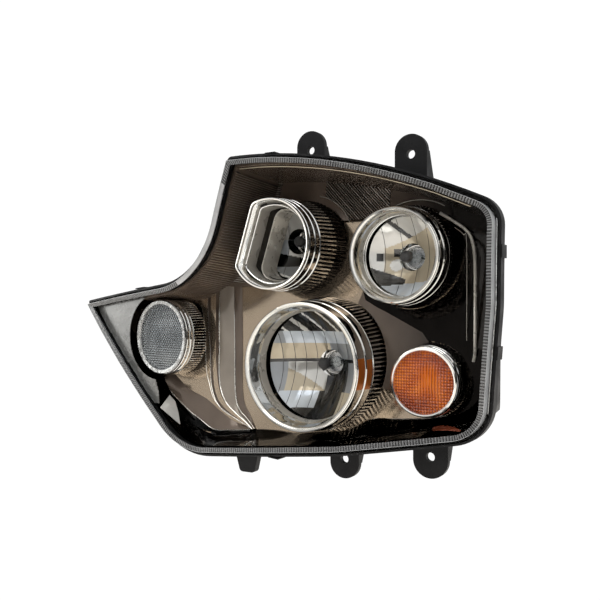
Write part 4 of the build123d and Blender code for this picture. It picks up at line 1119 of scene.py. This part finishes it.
def cut(loops, keep):
    """The parts of matching closed loops that keep picks, started at the gap."""
    flags = [keep(p[0], p[2]) for p in loops[0]]
    count = len(flags)
    start = next(k for k in range(count) if flags[k] and not flags[k - 1])
    order = []
    while flags[(start + len(order)) % count] and len(order) < count:
        order.append((start + len(order)) % count)
    return [[loop[j] for j in order] for loop in loops]


def by_left(x, z):
    """Whether a point of the wall is on the hollow left side, where it is fluted."""
    return -330.0 < x < -190.0 and z > -141.0


dark_wall = loft("bezel_wall", cut(wall_loops(2.0, 0.0), lambda x, z: not by_left(x, z)),
                 DARK_GLOSS, around=False)
# Above z -62 the wall's top is painted a lighter brown: painted light where it lies in shadow.
repaint(dark_wall, [BROWN], lambda _, c: c.z > -62.0)
fluted_loops = cut(wall_loops(0.68, 0.12), by_left)
fluted = loft("fluted_wall", fluted_loops, BROWN, around=False, sharp=10.0)
row_length = len(fluted.data.polygons) // len(fluted_loops)


def on_crest(face, _):
    """Whether a face of the fluted wall is on the crest of a flute, where a painted highlight
    goes.
    """
    row, col = divmod(face.index, row_length)
    return 2 <= row <= 5 and col % 4 == 1


repaint(fluted, [FLUTED], on_crest)


# ------------------------------------------------------------------ relief on the bezel
def level_path(points, count=48):
    """The same number of evenly spread points along a smooth path of (x, z)."""
    fine = smooth_path([(x, 0.0, z) for x, z in points], 10)
    lengths = [0.0]
    for a, b in zip(fine, fine[1:]):
        lengths.append(lengths[-1] + (b - a).length)
    out, k = [], 0
    for j in range(count):
        want = lengths[-1] * j / (count - 1)
        while k < len(fine) - 2 and lengths[k + 1] < want:
            k += 1
        t = (want - lengths[k]) / max(lengths[k + 1] - lengths[k], 1e-6)
        p = fine[k].lerp(fine[k + 1], min(max(t, 0.0), 1.0))
        out.append((p.x, p.z))
    return out


def ribbon(name, path_a, off_a, path_b, off_b, material, arch=0.0, rows=5):
    """A thin strip between two paths on the floor, proud of it and slightly arched."""
    a, b = level_path(path_a), level_path(path_b)
    front = []
    for j in range(rows + 1):
        t = j / rows
        lift = off_a + (off_b - off_a) * t + arch * 4 * t * (1 - t)
        front.append(on_floor(between(a, b, t), lift))
    loops = front + [moved_back(row, 0.9) for row in reversed(front)]
    count, high = len(a), len(loops)
    faces = skin(high, count, around=False, flip=True)
    faces.append(tuple(i * count for i in range(high)))
    faces.append(tuple(i * count + count - 1 for i in reversed(range(high))))
    return add_mesh(name, [p for loop in loops for p in loop], faces, material)


def plate(name, front, material, shift=(0.0, 1.0, 0.0)):
    """A flat plate from its front's corners."""
    verts, faces = walled(front, [tuple(range(len(front)))], shift)
    return add_mesh(name, verts, faces, material)


def on_plane(points, off):
    """Points (x, z) set off in front of the floor's flat part."""
    return [(x, plane_y(z) - off, z) for x, z in points]


def arc(name, radius, start, stop, count=40):
    """Points (x, z) round a lamp's axis, from start to stop degrees."""
    centre = (LAMPS[name]["x"], LAMPS[name]["z"])
    return arc_points(centre, radius, radians(start), radians(stop), count)


COLUMNS = [
    [(-275.2, -141.0), (-262.8, -179.0), (-255.4, -219.0), (-248.3, -238.0),
     (-235.3, -259.7), (-207.0, -275.4), (-185.0, -284.5)],
    [(-264.2, -140.5), (-259.3, -173.0), (-253.1, -196.0), (-245.8, -235.7),
     (-237.3, -255.4), (-224.5, -267.8), (-201.4, -277.1), (-183.4, -284.5)],
    [(-259.2, -138.5), (-254.6, -173.0), (-249.2, -196.0), (-241.6, -233.0),
     (-233.5, -253.5), (-219.5, -266.4), (-198.2, -276.9), (-182.8, -284.5)],
    [(-252.3, -134.0), (-243.9, -195.9), (-236.9, -229.6), (-228.2, -251.5),
     (-213.9, -265.0), (-194.8, -276.7), (-182.0, -284.5)],
    [(-246.6, -128.0), (-237.5, -195.7), (-231.2, -235.0), (-220.6, -256.6),
     (-205.3, -268.7), (-190.8, -277.4), (-181.0, -284.5)],
    [(-228.2, -128.0), (-218.1, -195.2), (-210.6, -245.0), (-203.2, -264.2),
     (-191.2, -274.2), (-180.0, -284.5)],
    [(-218.5, -127.0), (-208.6, -194.9), (-205.0, -225.0), (-199.0, -255.0),
     (-188.0, -271.5), (-179.0, -284.5)],
]
for k, (offs, paint, arch) in enumerate((
        ((1.6, 1.6), BRONZE, 0.1), ((1.6, 3.2), BROWN, 0.0), ((3.4, 3.4), BRONZE, 0.2),
        ((3.2, 5.2), BROWN, 0.0), ((5.2, 2.0), FLUTED, 1.4), ((2.0, 0.6), BROWN, 0.8))):
    ribbon(f"column_{k}", COLUMNS[k], offs[0], COLUMNS[k + 1], offs[1], paint, arch)
for k, lift, radius in ((0, 1.8, 0.35), (1, 1.9, 0.4), (4, 5.4, 0.6), (5, 2.3, 0.45)):
    wire(f"column_edge_{k}", on_floor(level_path(COLUMNS[k]), lift), radius, LIP)

RIDGE = [(-316.5, -231.0), (-299.3, -250.6), (-273.9, -267.8), (-251.9, -279.6),
         (-232.2, -288.6), (-210.0, -288.0), (-183.6, -285.4)]
CREASE = [(-300.0, -231.5), (-277.2, -246.7), (-252.2, -256.0), (-240.0, -262.5),
          (-227.4, -270.0), (-208.0, -279.0), (-185.0, -284.0)]
BELOW = [(-325.0, -233.0), (-309.0, -249.5), (-286.0, -272.0), (-268.0, -285.0),
         (-246.0, -292.0), (-215.0, -293.5), (-183.6, -292.0)]
ribbon("ridge_slope", CREASE, 0.4, RIDGE, 5.0, BROWN, 0.6)
wire("ridge_edge", on_floor(level_path(RIDGE), 5.0), 0.55, LIP)
# The ridge's foot wears a painted dim reflection.
ribbon("ridge_foot", RIDGE, 4.6, BELOW, 1.0, DIM_REFLECTION_AND_SHADE)
# A plate painted with a white reflection at the lower left corner.
FACET = [(-294.5, -27.0, -266.5), (-297.0, -7.0, -254.5), (-288.0, -8.0, -261.5),
         (-280.0, -12.0, -274.0), (-273.5, -17.0, -286.0)]
plate("corner_facet", FACET, WHITE_REFLECTION, (-1.0, 1.0, -0.6))

# Right of the lamps: a black pocket of painted shade, and a bright strip with a thin line beside
# it.
VALLEY = [(-63.5, -134.0), (-59.9, -144.0), (-46.0, -151.5), (-32.7, -157.5),
          (-10.0, -168.6), (6.0, -176.5), (12.0, -184.0)]
POCKET = [(-66.6, -122.8)] + VALLEY + arc("turn", 36.5, 78.0, -78.0)
POCKET += [(40.0, -260.5), (66.0, -254.0), (78.0, -240.0), (79.0, -200.0), (72.5, -90.0),
           (66.0, -72.0), (54.0, -58.0), (24.0, -50.0)] + arc("high", 53.0, 48.0, -158.0)
SHADE = VALLEY + arc("turn", 36.0, 100.0, 205.0) + arc("low", 72.0, -18.0, 62.0)
plate("pocket", on_plane(POCKET, 1.6), DARK_GLOSS)
# The shade plate is a painted shadow between the low beam and the turn lamp.
plate("shade", on_plane(SHADE, 1.1), BROWN)
STRIP = [(26.7, 10.0, -58.7), (42.0, 10.0, -68.3), (53.0, 10.0, -76.5), (58.9, 10.0, -86.4),
         (61.9, 10.0, -105.7), (62.2, 10.0, -150.0), (61.9, 10.0, -191.9),
         (60.4, 10.0, -203.5)]
SIDE_LINE = [(40.0, 15.0, -73.0), (48.5, 15.0, -80.0), (52.0, 15.0, -90.0),
             (52.0, 15.0, -188.0)]
TOP_LINE = sorted(p for p in outline(12.6) if p[1] > -58.0 and -186.0 < p[0] < 70.0)
wire("side_strip", smooth_path(STRIP, 10), 1.7, SATIN, sides=8)
wire("side_line", smooth_path(SIDE_LINE, 20), 0.35, SATIN)
# A thin line along the top wears the painted tan reflection.
wire("top_line", behind_lens(TOP_LINE, 22.0), 0.5, TAN_REFLECTION)


# ------------------------------------------------------------------ dark panel
def above(points, x, z):
    """Whether (x, z) is over a left-to-right line of points."""
    for (ax, az), (bx, bz) in zip(points, points[1:]):
        if ax <= x <= bx:
            return z > az + (bz - az) * (x - ax) / (bx - ax)
    return False


PANEL_EDGE = [(-330.0, -154.0), (-300.9, -146.0), (-269.1, -141.5), (-250.0, -136.0),
              (-236.0, -129.0), (-190.0, -127.8), (-150.0, -100.0), (-120.0, -62.0),
              (-102.0, -58.0), (-60.0, -58.0), (-8.0, -62.0), (26.7, -58.7), (53.0, -76.5),
              (62.0, -104.0), (64.0, -190.0), (95.0, -200.0)]
PANEL_LIFT = 3.6
RIB_PITCH, RIB_LIFT, CREST = 2.3, 0.75, 0.62


def panel_y(_, z):
    return plane_y(z) - PANEL_LIFT


panel_inside = in_outline(PANEL_INSET)
sheet_grid("dark_panel", steps(-330, 92, 1.5), steps(-202, 2, 1.5),
           lambda x, z: (panel_inside(x, z) and above(PANEL_EDGE, x, z)
                         and x < right_limit(panel_y(x, z))
                         and clear_of_lamps(x, z, ("high", "aux", "low"))),
           panel_y, BROWN, 1.0)
wire("panel_edge", on_plane(level_path(PANEL_EDGE[1:5], 30), PANEL_LIFT), 0.5, FLUTED)


def saw(t):
    """A zigzag between 1, at whole numbers, and 0, halfway."""
    return abs((t % 1.0) * 2 - 1)


def flutes(name, keep, xs, zs, along):
    """A patch of fine ribs on the panel, with a painted highlight on the crests and painted
    shade elsewhere. along gives the distance across the ribs.
    """
    obj = sheet_grid(name, xs, zs, keep, lambda x, z: (
        panel_y(x, z) - 0.7 - RIB_LIFT * saw(along(x, z) / RIB_PITCH)),
        FLUTE_DARK, 0.5)
    repaint(obj, [FLUTE_LIGHT], lambda _, c: saw(along(c.x, c.z) / RIB_PITCH) > CREST)


def left_flutes(x, z):
    return (panel_inside(x, z) and z > -124 and x < -196 + 0.18 * (z + 124)
            and away("aux", x, z) > 69)


def top_flutes(x, z):
    return (panel_inside(x, z) and away("aux", x, z) > 60 and away("high", x, z) > 61
            and -118 < x < -40 and z > -57.5)


flutes("panel_flutes_left", left_flutes, steps(-262, -150, 0.8), steps(-124, 0, 0.46),
       lambda x, z: z + 0.12 * x)
flutes("panel_flutes_top", top_flutes, steps(-118, -40, 0.5), steps(-58, 0, 0.5),
       lambda x, z: (z + x) * 0.7)
for k, (lamp_name, radius, start, stop) in enumerate((("aux", 59.0, 78.0, 27.0),
                                                       ("high", 60.0, 138.0, 60.0))):
    wire(f"recess_edge_{k}", on_plane(arc(lamp_name, radius, start, stop), PANEL_LIFT + 0.9),
         0.45, SATIN)


# ------------------------------------------------------------------ tip and apron
TIP_DEPTH = 13.0
TIP_HOLE, TIP_CLEAR, TIP_SNAP = 48.4, 49.0, 51.0
MARK = LAMPS["marker"]


def tip_y(x, z):
    return lens_y(x, z, TIP_DEPTH)


def tip_rim(x, z):
    """Rim points near the marker lamp move onto the edge of its hole."""
    r = away("marker", x, z)
    if r > TIP_SNAP:
        return x, z
    k = TIP_HOLE / r
    return MARK["x"] + (x - MARK["x"]) * k, MARK["z"] + (z - MARK["z"]) * k


tip_inside = in_outline(TIP_INSET)
sheet_grid("tip_panel", steps(-432, -296, 1.5), steps(-262, -136, 1.5),
           lambda x, z: (tip_inside(x, z) and away("marker", x, z) > TIP_CLEAR
                         and x < -318 + 0.35 * abs(z + 186)),
           tip_y, TIP_GREY, 1.0, edge=tip_rim)
bore = [[(x, y, z) for x, z in arc("marker", radius, 118.0, 258.0, 60)]
        for radius, y in ((48.6, -8.0), (47.6, 12.0), (48.4, 12.0), (49.4, -8.0))]
loft("tip_bore", bore, DARK_GLOSS, around=False)

APRON_TOP = [(-236.0, -291.5), (-210.0, -289.0), (-183.6, -285.4), (-150.0, -284.0),
             (-105.0, -286.0), (-68.0, -277.0), (-41.9, -264.4), (-11.5, -262.3), (29.8, -257.4),
             (58.0, -247.0), (72.0, -228.0)]
APRON_LOW = [(-247.0, -306.6), (-215.0, -304.2), (-185.0, -301.0), (-150.0, -297.2),
             (-105.0, -291.6), (-68.0, -287.2), (-40.0, -284.2), (-10.0, -280.5), (32.0, -273.5),
             (68.0, -262.0), (85.5, -240.0)]
APRON_COLUMNS, APRON_ROWS, APRON_WALL = 240, 16, 0.8
GLOW_X, GLOW_Z, GLOW_WIDTH, GLOW_HEIGHT = 44.0, -266.5, 16.0, 3.6


def apron():
    """The sheet under the lamps, from the floor's foot forward to the lens's lower edge."""
    top, low = level_path(APRON_TOP, APRON_COLUMNS), level_path(APRON_LOW, APRON_COLUMNS)
    rows = []
    for j in range(APRON_ROWS + 1):
        t = j / APRON_ROWS
        row = []
        for p, q, (x, z) in zip(top, low, between(top, low, t)):
            back, front = floor_y(*p) - 0.5, lens_y(*q, 18.6)
            row.append((x, back + (front - back) * t, z))
        rows.append(row)
    return rows + [moved_back(row, APRON_WALL) for row in reversed(rows)]


apron_sheet = loft("apron", apron(), DARK_GLOSS, around=False)
# A painted patch of the turn lamp's amber light on the apron.
repaint(apron_sheet, [GLOW], lambda _, c: (
    hypot((c.x - GLOW_X) / GLOW_WIDTH, (c.z - GLOW_Z) / GLOW_HEIGHT) < 1.0))
wire("apron_edge", on_floor(level_path(APRON_TOP[6:10], 50), 0.8), 0.4, SATIN)


# ------------------------------------------------------------------ lens rim
TEETH, TOOTH_HEIGHT = 4, 0.55
SKIRT_INSET, SKIRT_WALL, SKIRT_FRONT, SKIRT_BACK = 5.55, 0.3, 3.4, 15.6


def rim_band():
    """A ribbed band that follows the outline just behind the lens."""
    fronts, backs = [], []
    for inset, depth, slant in ((5.7, 4.2, 0), (10.6, 5.4, 2)):
        points = outline(inset, 0.7)
        backs.append(moved_back(behind_lens(points, depth), 0.8))
        fronts.append([(x, lens_y(x, z, depth) - TOOTH_HEIGHT * saw((k + slant) / TEETH), z)
                       for k, (x, z) in enumerate(points)])

    # The grooves between the ribs wear painted shade, and the upper left wears the pale paint.
    def pick(face, centre):
        if centre.z > -126.0 and centre.x < -194.5:
            return 2
        return face.index < len(points) and face.index % TEETH >= TEETH - 2

    band = loft("lens_rim_ribs", fronts + backs[::-1], RIM_CLEAR)
    repaint(band, [RIM_DARK, RIM_PALE], pick)


rim_band()
EDGE = [p for p in outline(0.9) if p[0] > 89.0 and -262.0 < p[1] < -70.0]
EDGE.sort(key=lambda p: p[1])
wire("lens_edge_line", [(x - 0.5, lens_y(x, z, 2.2), z) for x, z in EDGE], 0.4, TIP_BRIGHT)
skirt_outer, skirt_inner = outline(SKIRT_INSET), outline(SKIRT_INSET + SKIRT_WALL)
loft("lens_skirt_haze", [behind_lens(points, depth) for points, depth in (
    (skirt_outer, SKIRT_FRONT), (skirt_outer, SKIRT_BACK), (skirt_inner, SKIRT_BACK),
    (skirt_inner, SKIRT_FRONT))], SKIRT_CLEAR)


# ------------------------------------------------------------------ stage and light
WHITE_LIGHT, PAGE_STRENGTH = (1.0, 1.0, 1.0, 1.0), 1.05


def aimed(obj, place, target):
    """Put a light or camera into the scene, looking from one point (metres) at another."""
    obj.location = place
    look = Vector(target) - Vector(place)
    obj.rotation_euler = look.to_track_quat("-Z", "Y").to_euler()
    bpy.context.scene.collection.objects.link(obj)
    return obj


def stage_floor():
    """A floor that the camera sees as plain white, and that lights the lamp warmly."""
    mesh = bpy.data.meshes.new("stage_floor")
    size, z = 3.0, -0.52
    mesh.from_pydata([(-size, -size, z), (size, -size, z), (size, size, z),
                      (-size, size, z)], [], [(0, 1, 2, 3)])
    obj = bpy.data.objects.new("stage_floor", mesh)
    bpy.context.scene.collection.objects.link(obj)
    p = Paint("stage_white")
    pale = p.put(p.add("BsdfDiffuse"), Color=p.ramp(p.noise(3.0), (0.3, 0.78), (0.7, 0.82)))
    warm = p.light("Emission", (0.62, 0.53, 0.42, 1.0), 0.55)
    lit = p.joined("AddShader", pale.outputs[0], warm)
    glow = p.light("Emission", WHITE_LIGHT, PAGE_STRENGTH)
    seen = p.add("LightPath").outputs["Is Camera Ray"]
    mesh.materials.append(p.worn(p.joined("MixShader", seen, lit, glow)))


stage_floor()


def softbox(name, place, width, height, power):
    data = bpy.data.lights.new(name, "AREA")
    data.shape = "RECTANGLE"
    data.size, data.size_y = width, height
    data.energy = power
    aimed(bpy.data.objects.new(name, data), place, (-0.17, 0.0, -0.16))


softbox("key", (-2.3, -0.9, 0.55), 1.4, 1.8, 13)
softbox("top", (-0.3, -0.9, 1.9), 2.2, 1.2, 14)
softbox("right_strip", (1.7, 0.25, 0.25), 0.4, 1.6, 4)

# Half the light seen at each bearing from straight ahead, right positive, in degrees.
SKY_LEVEL = [(-180, 0.10), (-150, 0.15), (-118, 0.2), (-108, 0.75), (-66, 0.8), (-56, 0.36),
             (-38, 0.33), (-22, 0.2), (-12, 0.04), (46, 0.02), (58, 0.4), (80, 0.6),
             (112, 0.55), (120, 0.08), (156, 0.05), (160, 0.6), (170, 0.6), (174, 0.1)]
SKY_UPPER = [(-180, 0.25), (-120, 0.35), (-100, 0.6), (-60, 0.6), (-45, 0.36), (0, 0.42),
             (60, 0.5), (120, 0.35)]
SKY_LOWER = [(-180, 0.2), (-110, 0.3), (-60, 0.4), (-20, 0.35), (10, 0.3), (50, 0.3),
             (80, 0.4), (120, 0.2)]


def sky():
    """Light from all round for everything but the camera, which sees plain white."""
    world = bpy.data.worlds.new("studio")
    bpy.context.scene.world = world
    world.use_nodes = True
    n = Nodes(world.node_tree)

    def maths(operation, *values):
        node = n.add("Math", operation=operation)
        for socket, value in zip(node.inputs, values):
            n.feed(socket, value)
        return node.outputs[0]

    def band(stops):
        return n.ramp(bearing, *[(degrees / 360.0 + 0.5, value) for degrees, value in stops])

    where = n.add("TexCoord").outputs["Generated"]
    x, y, z = n.put(n.add("SeparateXYZ"), Vector=where).outputs
    bearing = maths("ARCTAN2", x, maths("MULTIPLY", y, -1.0))
    bearing = maths("MULTIPLY_ADD", bearing, 1.0 / (2 * pi), 0.5)
    rise = maths("MULTIPLY_ADD", z, 0.5, 0.5)
    high_share = n.ramp(rise, (0.58, 0.0), (0.64, 1.0))
    low_share = n.ramp(rise, (0.40, 1.0), (0.455, 0.0))
    colour = n.joined("MixRGB", high_share, band(SKY_LEVEL), band(SKY_UPPER))
    colour = n.joined("MixRGB", low_share, colour, band(SKY_LOWER))
    room = n.light("Background", colour, 2.0)
    page = n.light("Background", WHITE_LIGHT, PAGE_STRENGTH)
    seen = n.add("LightPath").outputs["Is Camera Ray"]
    n.put(n.add("OutputWorld"), Surface=n.joined("MixShader", seen, room, page))


sky()


# ------------------------------------------------------------------ camera
camera_data = bpy.data.cameras.new("camera")
camera_data.lens = 48.0
camera_data.sensor_width = 36.0
camera_data.clip_start = 0.02
camera_data.clip_end = 20.0
camera = aimed(bpy.data.objects.new("camera", camera_data), (0.300, -0.7378, -0.144),
               (-0.100, -0.045, -0.144))
bpy.context.scene.camera = camera
bpy.context.scene.view_settings.view_transform = "Standard"
